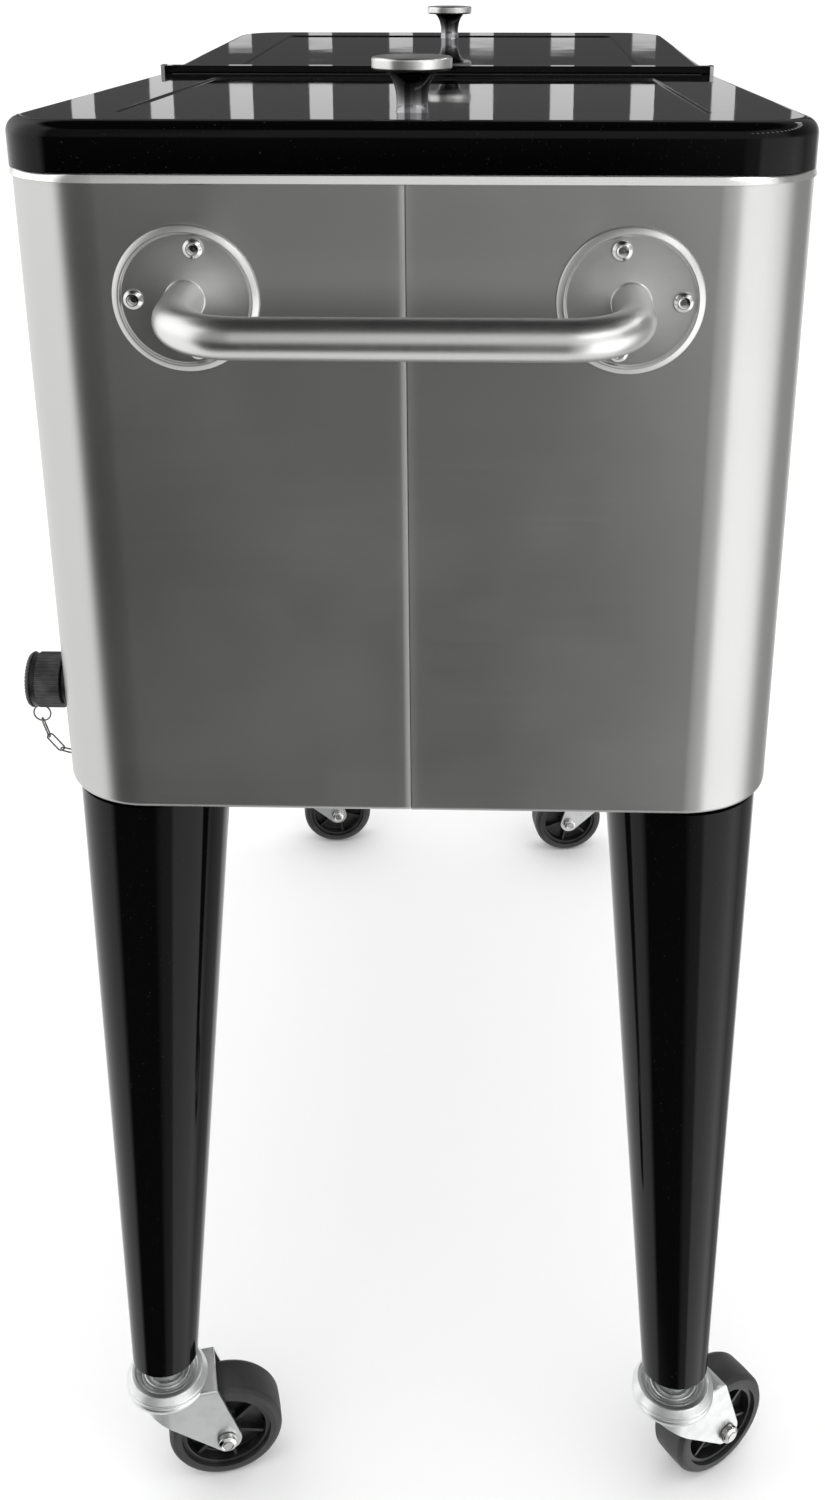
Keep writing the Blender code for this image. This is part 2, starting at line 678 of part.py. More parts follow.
def make_rail():
    """Moulded rail: a hollow beam across the tub mouth, a web between the lids, hinge ears."""
    beam_x = TUB_HALF_WIDTH - FIT_GAP
    rail_x = LID_WIDTH / 2 - RAIL_END_INSET
    web_low = RIM_TOP + FIT_GAP
    web_high = LID_TOP - LID_FALL + RAIL_PROUD
    inside_x = beam_x - BEAM_WALL
    inside_y = BEAM_WIDTH / 2 - BEAM_WALL
    work = bmesh.new()
    add_box(work, (-beam_x, -BEAM_WIDTH / 2, RIM_TOP - BEAM_DEPTH), (beam_x, BEAM_WIDTH / 2, RIM_TOP))
    rail = make_object("centre_rail", work, GLOSS_BLACK)
    hollow = bmesh.new()
    hollow_low = RIM_TOP - BEAM_DEPTH - CUT_OVERRUN
    add_box(hollow, (-inside_x, -inside_y, hollow_low), (inside_x, inside_y, RIM_TOP - BEAM_WALL))
    use_boolean(rail, make_cutter("beam_hollow", hollow), "DIFFERENCE")
    web = bmesh.new()
    add_box(web, (-rail_x, -RAIL_WEB / 2, web_low), (rail_x, RAIL_WEB / 2, web_high))
    use_boolean(rail, make_cutter("rail_web", web), "UNION")
    root = bmesh.new()
    root_y = RAIL_WEB / 2 - FIT_GAP
    add_box(root, (-inside_x, -root_y, RIM_TOP - BEAM_WALL / 2), (inside_x, root_y, web_low + FIT_GAP))
    use_boolean(rail, make_cutter("web_root", root), "UNION")
    ears = bmesh.new()
    round_end = arc(0, 0, EAR_RADIUS, -math.pi / 2, math.pi, EAR_STEPS)
    for side in (-1, 1):
        low_x, high_x = sorted((side * EAR_INNER, side * EAR_OUTER))
        for end in ENDS.values():
            far_y = end * HINGE_OFFSET
            near_y = end * (RAIL_WEB / 2 - FIT_GAP)
            add_rings(ears, [
                [Vector((x, y, z)) for y, z in (
                    (near_y, HINGE_HEIGHT - EAR_RADIUS),
                    *[(far_y + end * a, HINGE_HEIGHT + b) for a, b in round_end],
                    (far_y - end * EAR_RADIUS, HINGE_HEIGHT - FIT_GAP),
                    (near_y, HINGE_HEIGHT - FIT_GAP),
                )]
                for x in (low_x, high_x)
            ])
    use_boolean(rail, make_cutter("hinge_ears", ears), "UNION")
    rods = [facing((0, end * HINGE_OFFSET, HINGE_HEIGHT), (1, 0, 0)) for end in ENDS.values()]
    rod_reach = rail_x + CUT_OVERRUN
    cut_round(rail, "ear_holes", rods, ROD_RADIUS + FIT_GAP, -rod_reach, rod_reach, TUBE_SIDES)
    cut_round(rail, "rail_screw_holes", rail_screw_frames(), rail_hole, -CUT_OVERRUN, rail_hole_end)
    return rail


make_rail()
for end_name, end in ENDS.items():
    rod_half = EAR_OUTER - FIT_GAP
    rod = bmesh.new()
    rod_frame = facing((0, end * HINGE_OFFSET, HINGE_HEIGHT), (1, 0, 0))
    turned(rod, solid_round(ROD_RADIUS, -rod_half, rod_half), TUBE_SIDES, rod_frame)
    make_object("hinge_rod_" + end_name, rod, BRIGHT_STEEL, math.radians(35))


def lid_top_at(y):
    """The lids fall towards the middle. y is the distance from the middle."""
    share = (LID_LENGTH / 2 - y) / (LID_LENGTH / 2 - HINGE_OFFSET)
    return LID_TOP - LID_FALL * share


def lid_outline(inner_y, inset, radius=LID_CORNER, inner_radius=PANEL_CORNER, outer_y=LID_LENGTH / 2):
    outer = max(radius - inset, PANEL_STEP)
    half = LID_WIDTH / 2 - inset
    radii = [outer, outer, inner_radius, inner_radius]
    return rounded_rectangle(-half, half, inner_y, outer_y - inset, radii)


def under_top(outline, drop):
    """A ring a given drop below the sloping lid top."""
    return [Vector((x, y, lid_top_at(y) - drop)) for x, y in outline]


def panel_outline(grow):
    half = LID_WIDTH / 2 - PANEL_SIDE_INSET + grow
    low = HINGE_OFFSET + PANEL_INNER_INSET - grow
    high = LID_LENGTH / 2 - PANEL_END_INSET + grow
    return rounded_rectangle(-half, half, low, high, [PANEL_CORNER + grow] * 4)


def to_end(work, end):
    """Pieces of a lid are drawn for the far end; the near ones are turned half round."""
    if end < 0:
        bmesh.ops.rotate(work, cent=(0, 0, 0), matrix=Matrix.Rotation(math.pi, 3, "Z"), verts=work.verts)
    return work


def make_lid_shell(name, end):
    skirt_low = BODY_TOP + LID_SKIRT_CLEARANCE
    start = HINGE_OFFSET - ROLL_RADIUS
    radius = LID_EDGE_RADIUS
    sheet = LID_SHEET
    rings = [under_top(panel_outline(0), PANEL_DEPTH), under_top(panel_outline(PANEL_STEP), 0)]
    for inset, rise in arc(radius, -radius, radius, math.pi / 2, math.pi, EDGE_STEPS + 1):
        rings.append(under_top(lid_outline(start, inset), -rise))
    rings.append(at_height(lid_outline(start, 0), skirt_low))
    rings.append(at_height(lid_outline(start, sheet), skirt_low))
    for inset, rise in arc(radius, -radius, radius - sheet, math.pi, math.pi / 2, EDGE_STEPS):
        rings.append(under_top(lid_outline(start, inset), -rise))
    rings.append(under_top(panel_outline(PANEL_STEP), sheet))
    rings.append(under_top(panel_outline(0), PANEL_DEPTH + sheet))
    work = bmesh.new()
    add_rings(work, rings)
    shell = make_object(name, to_end(work, end), GLOSS_BLACK, math.radians(25))
    open_end = bmesh.new()
    reach = LID_WIDTH
    near_y, far_y = sorted((0, end * HINGE_OFFSET))
    add_box(open_end, (-reach, near_y, BODY_TOP), (reach, far_y, LID_TOP + reach))
    use_boolean(shell, make_cutter(name + "_open_end", open_end), "DIFFERENCE")
    roll_half = EAR_INNER - EAR_SIDE_GAP
    axis = facing((0, end * HINGE_OFFSET, HINGE_HEIGHT), (1, 0, 0))
    roll = bmesh.new()
    turned(roll, solid_round(ROLL_RADIUS, -roll_half, roll_half), SMALL_SIDES, axis)
    use_boolean(shell, make_cutter(name + "_roll", roll), "UNION")
    cut_round(
        shell, name + "_bore", [axis], ROD_RADIUS + FIT_GAP,
        -roll_half - CUT_OVERRUN, roll_half + CUT_OVERRUN, TUBE_SIDES,
    )
    knob_y = LID_LENGTH / 2 - KNOB_SETBACK
    knob_seat = Matrix.Translation((0, end * knob_y, lid_top_at(knob_y) - PANEL_DEPTH))
    knob_hole = KNOB_SCREW_RADIUS + FIT_GAP
    cut_round(shell, name + "_knob_hole", [knob_seat], knob_hole, -sheet - CUT_OVERRUN, CUT_OVERRUN)
    return shell


def make_lid_tray(name, end):
    """Moulded liner under the lid, with a plug that reaches down into the tub mouth."""
    start = HINGE_OFFSET + ROLL_RADIUS + TRAY_ROLL_CLEARANCE
    edge = LID_SHEET + TRAY_SIDE_GAP
    plug_low = TRAY_SEAT - TRAY_DEPTH

    def plug(grow):
        half = TUB_HALF_WIDTH - TRAY_TUB_CLEARANCE + grow
        low = BEAM_WIDTH / 2 + TRAY_TUB_CLEARANCE - grow
        high = TUB_HALF_LENGTH - TRAY_TUB_CLEARANCE + grow
        return rounded_rectangle(-half, half, low, high, [TUB_CORNER - TRAY_TUB_CLEARANCE + grow] * 4)

    work = bmesh.new()
    add_rings(work, [
        at_height(plug(-TRAY_SHEET), plug_low),
        at_height(plug(0), plug_low + TRAY_SHEET),
        at_height(plug(0), TRAY_SEAT),
        at_height(lid_outline(start, edge), TRAY_SEAT),
        at_height(lid_outline(start, edge), TRAY_SEAT + TRAY_SHEET),
        at_height(plug(-TRAY_SHEET), TRAY_SEAT + TRAY_SHEET),
        at_height(plug(-TRAY_SHEET), plug_low + TRAY_SHEET),
    ])
    tray = make_object(name, to_end(work, end), BLACK_PLASTIC)
    fill = bmesh.new()
    filled_low = plug_low + TRAY_SHEET + FIT_GAP
    filled = plug(-TRAY_SHEET - FIT_GAP)
    over = TRAY_SEAT + TRAY_SHEET + FIT_GAP
    top_drop = PANEL_DEPTH + LID_SHEET + FIT_GAP
    wide = lid_outline(start, edge + (LID_EDGE_RADIUS - LID_SHEET) / 3)
    add_rings(fill, [
        at_height(filled, filled_low),
        at_height(filled, over),
        at_height(wide, over),
        under_top(wide, top_drop),
    ])
    foam = make_object(name.replace("tray", "foam"), to_end(fill, end), FOAM)
    knob_y = LID_LENGTH / 2 - KNOB_SETBACK
    head_room = Matrix.Translation((0, end * knob_y, lid_top_at(knob_y) - PANEL_DEPTH - LID_SHEET))
    depth = KNOB_SCREW_HEAD_HEIGHT + 2 * FIT_GAP
    head_hole = KNOB_SCREW_HEAD_RADIUS + FIT_GAP
    cut_round(foam, name + "_head_room", [head_room], head_hole, -depth, CUT_OVERRUN)
    return tray, foam


def make_gasket(name, end):
    """Soft seal under the lid, around the tub mouth and across the rail's beam."""
    low = RIM_TOP + FIT_GAP
    inner_y = HINGE_OFFSET + ROLL_RADIUS + TRAY_ROLL_CLEARANCE + GASKET_HEIGHT / 2
    rings = []
    for grow, height in ((0, 0), (0, GASKET_HEIGHT), (-GASKET_WIDTH, GASKET_HEIGHT), (-GASKET_WIDTH, 0)):
        half = BODY_WIDTH / 2 - RIM_INSET - GASKET_RIM_INSET + grow
        high = BODY_LENGTH / 2 - RIM_INSET - GASKET_RIM_INSET + grow
        outer = BODY_CORNER - RIM_INSET - GASKET_RIM_INSET + grow
        small = GASKET_WIDTH + PANEL_STEP + grow
        outline = rounded_rectangle(-half, half, inner_y - grow, high, [outer, outer, small, small])
        rings.append(at_height(outline, low + height))
    work = bmesh.new()
    add_rings(work, rings, True)
    return make_object(name, to_end(work, end), SOFT_BLACK)


def make_knob(name, end):
    """Trumpet-shaped stem screwed down from inside the lid, with a brushed cap on it."""
    knob_y = LID_LENGTH / 2 - KNOB_SETBACK
    seat = lid_top_at(knob_y) - PANEL_DEPTH + FIT_GAP
    frame = Matrix.Translation((0, end * knob_y, seat))
    waist = KNOB_WAIST_RADIUS
    bell = KNOB_BELL_RADIUS - waist
    high = KNOB_STEM_HEIGHT
    flute = [(waist + KNOB_FOOT_FLARE, 0)]
    flute += [(waist, high * KNOB_FOOT_SHARE), (waist, high * KNOB_WAIST_SHARE)]
    for step in range(1, FLARE_STEPS):
        angle = math.pi / 2 * step / FLARE_STEPS
        rise = KNOB_WAIST_SHARE + (1 - KNOB_WAIST_SHARE) * math.sin(angle)
        flute.append((waist + bell * (1 - math.cos(angle)), high * rise))
    flute += [(KNOB_BELL_RADIUS, high)]
    bore = KNOB_SCREW_RADIUS + FIT_GAP
    bite = KNOB_SCREW_BITE + FIT_GAP
    stem_work = bmesh.new()
    turned(stem_work, [(0, bite), (bore, bite), (bore, 0)] + flute + [(0, high)], ROUND_SIDES, frame)
    stem = make_object(name + "_stem", stem_work, CHROME, math.radians(30))
    low = high + FIT_GAP
    edge = KNOB_CAP_EDGE
    wide = KNOB_CAP_RADIUS
    thick = KNOB_CAP_THICKNESS
    cap_profile = [(0, low), (wide - edge, low)]
    cap_profile += arc(wide - edge, low + edge, edge, -math.pi / 2, 0, 2)[1:]
    cap_profile += arc(wide - edge, low + thick - KNOB_CAP_CROWN - edge, edge, 0, math.pi / 2, 2)
    cap_profile += [(0, low + thick)]
    cap_work = bmesh.new()
    turned(cap_work, cap_profile, ROUND_SIDES, frame)
    cap = make_object(name + "_cap", cap_work, BRIGHT_STEEL, math.radians(30))
    under = -LID_SHEET - FIT_GAP - FIT_GAP
    head_low = under - KNOB_SCREW_HEAD_HEIGHT
    screw_work = bmesh.new()
    turned(screw_work, [
        (0, head_low), (KNOB_SCREW_HEAD_RADIUS - KNOB_CAP_CROWN, head_low),
        (KNOB_SCREW_HEAD_RADIUS, head_low + KNOB_CAP_CROWN), (KNOB_SCREW_HEAD_RADIUS, under),
        (KNOB_SCREW_RADIUS, under), (KNOB_SCREW_RADIUS, KNOB_SCREW_BITE), (0, KNOB_SCREW_BITE),
    ], SCREW_SIDES, frame)
    screw = make_object(name + "_screw", screw_work, BRIGHT_STEEL, math.radians(35))
    return stem, cap, screw


for end_name, end in ENDS.items():
    hinge = make_pivot("hinge_" + end_name, (0, end * HINGE_OFFSET, HINGE_HEIGHT))
    lid_pieces = [make_lid_shell("lid_" + end_name, end)]
    lid_pieces += make_lid_tray("lid_" + end_name + "_tray", end)
    lid_pieces.append(make_gasket("lid_" + end_name + "_gasket", end))
    lid_pieces += make_knob("knob_" + end_name, end)
    hang_on(hinge, *lid_pieces)


def make_handle(name, end):
    """A tube bent at both ends, welded into two pressed flanges that lie on the end wall."""
    start = end * (BODY_LENGTH / 2 + FIT_GAP + FLANGE_DOME_HEIGHT - FLANGE_SHEET)
    out = end * (BODY_LENGTH / 2 + HANDLE_STANDOFF)
    half = HANDLE_SPACING / 2
    bend = HANDLE_BEND_RADIUS

    def drop(y):
        return HANDLE_HEIGHT - HANDLE_DROOP * (y - start) / (out - start)

    plan = [(-half, start)]
    for step in range(BEND_STEPS + 1):
        angle = math.pi / 2 * step / BEND_STEPS
        y = out - end * bend + end * bend * math.sin(angle)
        plan.append((-half + bend - bend * math.cos(angle), y))
    path = [Vector((x, y, drop(y))) for x, y in plan]
    path += [Vector((-x, y, drop(y))) for x, y in reversed(plan)]
    bore = HANDLE_TUBE_RADIUS - HANDLE_TUBE_WALL
    tube = bmesh.new()
    sweep(tube, path, HANDLE_TUBE_RADIUS, TUBE_SIDES, Vector((0, 0, 1)), bore=bore)
    handle = make_object(name, tube, BRUSHED_STEEL, math.radians(35))

    rim = FLANGE_RADIUS
    valley = rim - FLANGE_RIM_WIDTH
    sheet = FLANGE_SHEET
    weld = bore + HANDLE_TUBE_WALL / 2
    profile = [
        (weld, FLANGE_DOME_HEIGHT - sheet),
        (HANDLE_TUBE_RADIUS + sheet, FLANGE_DOME_HEIGHT - sheet),
        (FLANGE_DOME_RADIUS, FLANGE_SEAT - sheet),
        (rim - sheet, 0),
        (rim, 0),
        (rim, FLANGE_RIM_HEIGHT / 2),
        (rim - FLANGE_RIM_WIDTH / 3, FLANGE_RIM_HEIGHT),
        (valley, FLANGE_SEAT),
        (FLANGE_DOME_RADIUS + sheet, FLANGE_SEAT),
        (HANDLE_TUBE_RADIUS + 2 * sheet, FLANGE_DOME_HEIGHT),
        (weld, FLANGE_DOME_HEIGHT),
    ]
    flanges = bmesh.new()
    for flange_end, _, frame in flange_frames():
        if flange_end == end:
            turned(flanges, profile, SMALL_SIDES, frame @ Matrix.Translation((0, 0, FIT_GAP)))
    use_boolean(handle, make_cutter(name + "_flanges", flanges), "UNION")
    reach = FLANGE_RIM_HEIGHT + CUT_OVERRUN
    cut_round(handle, name + "_screw_holes", flange_screw_frames(end), screw_hole, -CUT_OVERRUN, reach)


for end_name, end in ENDS.items():
    make_handle("handle_" + end_name, end)


def make_drain():
    """Spout clamped through the wall, with its seal inside the tub and its nut outside."""
    inside = -WALL_THICKNESS
    washer_low = inside - FIT_GAP - WASHER_THICKNESS
    flange_low = washer_low - FIT_GAP - SPOUT_FLANGE_THICKNESS
    reach = CAP_START + CAP_LENGTH - CAP_END_WALL - SPOUT_END_GAP
    spout = bmesh.new()
    turned(spout, [
        (SPOUT_BORE, flange_low), (SPOUT_FLANGE_RADIUS, flange_low),
        (SPOUT_FLANGE_RADIUS, flange_low + SPOUT_FLANGE_THICKNESS),
        (SPOUT_RADIUS, flange_low + SPOUT_FLANGE_THICKNESS), (SPOUT_RADIUS, reach), (SPOUT_BORE, reach),
    ], ROUND_SIDES, DRAIN_FRAME)
    make_object("drain_spout", spout, BLACK_PLASTIC, math.radians(35))
    washer = bmesh.new()
    turned(washer, [
        (spout_hole, washer_low), (WASHER_RADIUS, washer_low),
        (WASHER_RADIUS, washer_low + WASHER_THICKNESS), (spout_hole, washer_low + WASHER_THICKNESS),
    ], ROUND_SIDES, DRAIN_FRAME)
    make_object("drain_washer", washer, SOFT_BLACK)
    nut = bmesh.new()
    chamfer = DRAIN_NUT_THICKNESS / 4
    turned(nut, [
        (spout_hole, FIT_GAP), (DRAIN_NUT_RADIUS, FIT_GAP),
        (DRAIN_NUT_RADIUS, DRAIN_NUT_THICKNESS - chamfer),
        (DRAIN_NUT_RADIUS - chamfer, DRAIN_NUT_THICKNESS), (spout_hole, DRAIN_NUT_THICKNESS),
    ], ROUND_SIDES, DRAIN_FRAME)
    make_object("drain_nut", nut, BLACK_PLASTIC, math.radians(35))


def make_drain_cap():
    """Ribbed screw cap with a groove for its retaining ring."""
    low = CAP_START
    high = CAP_START + CAP_LENGTH
    groove_low = GROOVE_MIDDLE - CAP_GROOVE_WIDTH / 2
    groove_high = GROOVE_MIDDLE + CAP_GROOVE_WIDTH / 2
    groove = CAP_RADIUS - CAP_GROOVE_DEPTH
    inside = high - CAP_END_WALL
    count = 2 * CAP_RIBS

    def ring(radius, height, ribbed=False):
        points = []
        for i in range(count):
            reach = radius - (CAP_RIB_DEPTH if ribbed and i % 2 else 0)
            angle = math.tau * i / count
            points.append(Vector((reach * math.cos(angle), reach * math.sin(angle), height)))
        return points

    bore = SPOUT_RADIUS + FIT_GAP
    rings = [
        ring(bore, inside), ring(bore, low),
        ring(CAP_RADIUS, low, True), ring(CAP_RADIUS, groove_low, True),
        ring(groove, groove_low), ring(groove, groove_high), ring(CAP_RADIUS, groove_high, True),
        ring(CAP_RADIUS, high - CAP_RIB_DEPTH, True), ring(CAP_RADIUS - 2 * CAP_RIB_DEPTH, high),
        ring(CAP_BOSS_RADIUS, high), ring(CAP_BOSS_RADIUS, high + CAP_BOSS_HEIGHT),
    ]
    work = bmesh.new()
    add_rings(work, rings)
    bmesh.ops.transform(work, matrix=DRAIN_FRAME, verts=work.verts)
    return make_object("drain_cap", work, BLACK_PLASTIC, math.radians(25))


def make_retainer():
    """Ring that turns in the cap's groove, with a lug for the chain at its lowest point."""
    outer = RETAINER_INNER + RETAINER_WALL
    low = GROOVE_MIDDLE - RETAINER_WIDTH / 2
    high = GROOVE_MIDDLE + RETAINER_WIDTH / 2
    work = bmesh.new()
    profile = [(RETAINER_INNER, low), (outer, low), (outer, high), (RETAINER_INNER, high)]
    turned(work, profile, ROUND_SIDES, DRAIN_FRAME)
    ring = make_object("cap_retainer", work, BLACK_PLASTIC, math.radians(35))
    x = -BODY_WIDTH / 2 - GROOVE_MIDDLE
    low_z = LUG_HOLE_Z - LUG_WIDTH / 2
    half_x = RETAINER_WIDTH / 2 - FIT_GAP
    lug = bmesh.new()
    half_y = LUG_WIDTH / 2
    high_z = low_z + LUG_LENGTH
    add_box(lug, (x - half_x, DRAIN_Y - half_y, low_z), (x + half_x, DRAIN_Y + half_y, high_z))
    use_boolean(ring, make_cutter("retainer_lug", lug), "UNION")
    hole = facing((x, DRAIN_Y, LUG_HOLE_Z), (1, 0, 0))
    cut_round(ring, "lug_hole", [hole], LUG_HOLE, -LUG_WIDTH, LUG_WIDTH)
    return ring


def stadium(length, width, steps):
    """A closed loop in XY, length along X, for the centre line of an oval link."""
    radius = width / 2
    straight = length / 2 - radius
    right = arc(straight, 0, radius, -math.pi / 2, math.pi / 2, steps)
    left = arc(-straight, 0, radius, math.pi / 2, math.pi * 3 / 2, steps)
    return right + left


make_drain()
drain_cap = make_drain_cap()
cap_retainer = make_retainer()
ring_middle = Vector((-BODY_WIDTH / 2 - GROOVE_MIDDLE, DRAIN_Y, SPLIT_RING_Z))
ring_work = bmesh.new()
ring_line = arc(0, 0, SPLIT_RING_RADIUS, 0, math.tau, SMALL_SIDES)[:-1]
ring_path = [ring_middle + Vector((a, 0, b)) for a, b in ring_line]
sweep(ring_work, ring_path, CHAIN_WIRE / 2, WIRE_SIDES, Vector((0, 1, 0)), closed=True)
split_ring = make_object("chain_split_ring", ring_work, BRIGHT_STEEL, math.radians(60))
cap_pivot = make_pivot("cap_axis", DRAIN_FRAME.translation)
hang_on(cap_pivot, drain_cap, cap_retainer, split_ring)

# A screw eye under the edge of the body holds the other end of the chain
eye_work = bmesh.new()
eye_path = [EYE_MIDDLE + Vector((0, a, b)) for a, b in arc(0, 0, EYE_RADIUS, 0, math.tau, TUBE_SIDES)[:-1]]
sweep(eye_work, eye_path, CHAIN_WIRE / 2, WIRE_SIDES, Vector((1, 0, 0)), closed=True)
chain_eye = make_object("chain_eye", eye_work, BRIGHT_STEEL, math.radians(60))
eye_shank = bmesh.new()
eye_top = BODY_BOTTOM - EYE_MIDDLE.z - EYE_RADIUS
turned(eye_shank, solid_round(EYE_SHANK_RADIUS, -EYE_SHANK_LENGTH, eye_top), SCREW_SIDES, EYE_FRAME)
use_boolean(chain_eye, make_cutter("eye_shank", eye_shank), "UNION")

# Oval links, each a quarter turn round from the last
for i, (here, along) in enumerate(zip(CHAIN_JOINTS, CHAIN_HEADINGS)):
    broadside = along.cross(Vector((0, 0, 1))).normalized()
    side = along.cross(broadside) if i % 2 else broadside
    middle = here + along * LINK_PITCH / 2
    oval = stadium(LINK_PITCH + LINK_HOOK, LINK_WIDTH - CHAIN_WIRE, LINK_STEPS)
    link = bmesh.new()
    line = [middle + along * a + side * b for a, b in oval]
    sweep(link, line, CHAIN_WIRE / 2, WIRE_SIDES, along.cross(side), closed=True)
    make_object(f"chain_link_{i + 1}", link, BRIGHT_STEEL, math.radians(60))


def circle(middle_x, middle_y, radius, height, sides=ROUND_SIDES):
    turns = [math.tau * k / sides for k in range(sides)]
    return [
        Vector((middle_x + radius * math.cos(turn), middle_y + radius * math.sin(turn), height))
        for turn in turns
    ]


def leg_ring(across, along, rise, inset):
    """A level ring of a leg, rise above its foot. The tube tapers and leans outwards."""
    share = rise / LEG_LENGTH
    x = LEG_FOOT_X - LEG_SPLAY_ACROSS * share
    y = LEG_FOOT_Y - LEG_SPLAY_ALONG * share
    radius = LEG_FOOT_RADIUS + (LEG_TOP_RADIUS - LEG_FOOT_RADIUS) * share
    return circle(across * x, along * y, radius - inset, CASTER_HEIGHT + rise)


def make_leg(name, across, along):
    """Tapered steel tube, open at the foot, welded to a bolted plate under the body."""
    plate_high = BODY_BOTTOM - FIT_GAP
    plate_low = plate_high - LEG_PLATE_THICKNESS
    weld = plate_low + LEG_PLATE_THICKNESS / 2 - CASTER_HEIGHT
    work = bmesh.new()
    add_rings(work, [
        leg_ring(across, along, 0, 0), leg_ring(across, along, weld, 0),
        leg_ring(across, along, weld, LEG_WALL), leg_ring(across, along, 0, LEG_WALL),
    ], True)
    leg = make_object(name, work, GLOSS_BLACK, math.radians(35))
    inward = -LEG_PLATE_INNER
    outward = LEG_PLATE_OUTER
    low_x, high_x = sorted((across * (LEG_TOP_X + inward), across * (LEG_TOP_X + outward)))
    low_y, high_y = sorted((along * (LEG_TOP_Y + inward), along * (LEG_TOP_Y + outward)))
    tight = LEG_PLATE_CORNER
    wide = LEG_PLATE_OUTER - PANEL_STEP
    order = [(1, 1), (-1, 1), (-1, -1), (1, -1)]
    radii = [wide if corner == (across, along) else tight for corner in order]
    outline = rounded_rectangle(low_x, high_x, low_y, high_y, radii)
    plate = bmesh.new()
    add_rings(plate, [at_height(outline, plate_low), at_height(outline, plate_high)])
    use_boolean(leg, make_cutter(name + "_plate", plate), "UNION")
    plug = bmesh.new()
    inset = LEG_WALL / 2
    add_rings(plug, [
        leg_ring(across, along, LEG_PLUG_RECESS, inset),
        leg_ring(across, along, LEG_PLUG_HEIGHT, inset),
    ])
    use_boolean(leg, make_cutter(name + "_foot_plug", plug), "UNION")
    bore = Matrix.Translation((across * LEG_FOOT_X, along * LEG_FOOT_Y, CASTER_HEIGHT))
    stem_hole = STEM_RADIUS + FIT_GAP
    stem_reach = LEG_PLUG_HEIGHT + CUT_OVERRUN
    cut_round(leg, name + "_bore", [bore], stem_hole, -CUT_OVERRUN, stem_reach, TUBE_SIDES)
    own = [
        frame for frame in leg_bolt_frames()
        if frame.translation.x * across > 0 and frame.translation.y * along > 0
    ]
    cut_round(leg, name + "_holes", own, bolt_hole, -LEG_PLATE_THICKNESS - CUT_OVERRUN, CUT_OVERRUN)


for corner_name, (across, along, _) in CASTERS.items():
    make_leg("leg_" + corner_name, across, along)

# Casters. Heights are above the floor; the swivel axis is the pivot's Z, the wheel trails to +X
RACE_LOW = FORK_TOP_HEIGHT + RACE_RUN_GAP
FORK_UNDER = FORK_TOP_HEIGHT - 2 * FORK_SHEET
FORK_INSIDE = TYRE_WIDTH / 2 + FORK_SIDE_GAP


def race_profile():
    """Stem, nut, dished upper race and the riveted pin that holds the fork."""
    head_high = FORK_UNDER - FIT_GAP
    top = RACE_LOW + RACE_HEIGHT
    foot = CASTER_HEIGHT - FIT_GAP
    return [
        (0, head_high - KINGPIN_HEAD_HEIGHT),
        (KINGPIN_HEAD_RADIUS, head_high - KINGPIN_HEAD_HEIGHT),
        (KINGPIN_HEAD_RADIUS, head_high),
        (KINGPIN_RADIUS, head_high),
        (KINGPIN_RADIUS, RACE_LOW),
        (RACE_RADIUS, RACE_LOW),
        (RACE_RADIUS, RACE_LOW + RACE_SHEET),
        (RACE_RADIUS - RACE_SHEET, top - RACE_SHEET / 2),
        (RACE_DISH_RADIUS + RACE_SHEET, top),
        (RACE_DISH_RADIUS, top - RACE_SHEET),
        (STEM_NUT_RADIUS, top - RACE_SHEET),
        (STEM_NUT_RADIUS, foot),
        (STEM_RADIUS, foot),
        (STEM_RADIUS, CASTER_HEIGHT + STEM_BITE),
        (0, CASTER_HEIGHT + STEM_BITE),
    ]


def fork_side_outline():
    """Side view of a fork cheek: wide under the race, drawn in to a round eye at the axle."""
    eye = FORK_EYE_RADIUS
    front = -math.sqrt(FORK_TOP_RADIUS ** 2 - (FORK_INSIDE + FORK_SHEET) ** 2)
    rear = CASTER_TRAIL - FORK_REAR_LEAN
    outline = [(rear, FORK_TOP_HEIGHT - FORK_SHEET), (front, FORK_TOP_HEIGHT - FORK_SHEET)]
    outline += [(front, FORK_TOP_HEIGHT - FORK_SKIRT)]
    outline += arc(CASTER_TRAIL, WHEEL_RADIUS, eye, FORK_EYE_START, FORK_EYE_END, FORK_EYE_STEPS)
    return outline


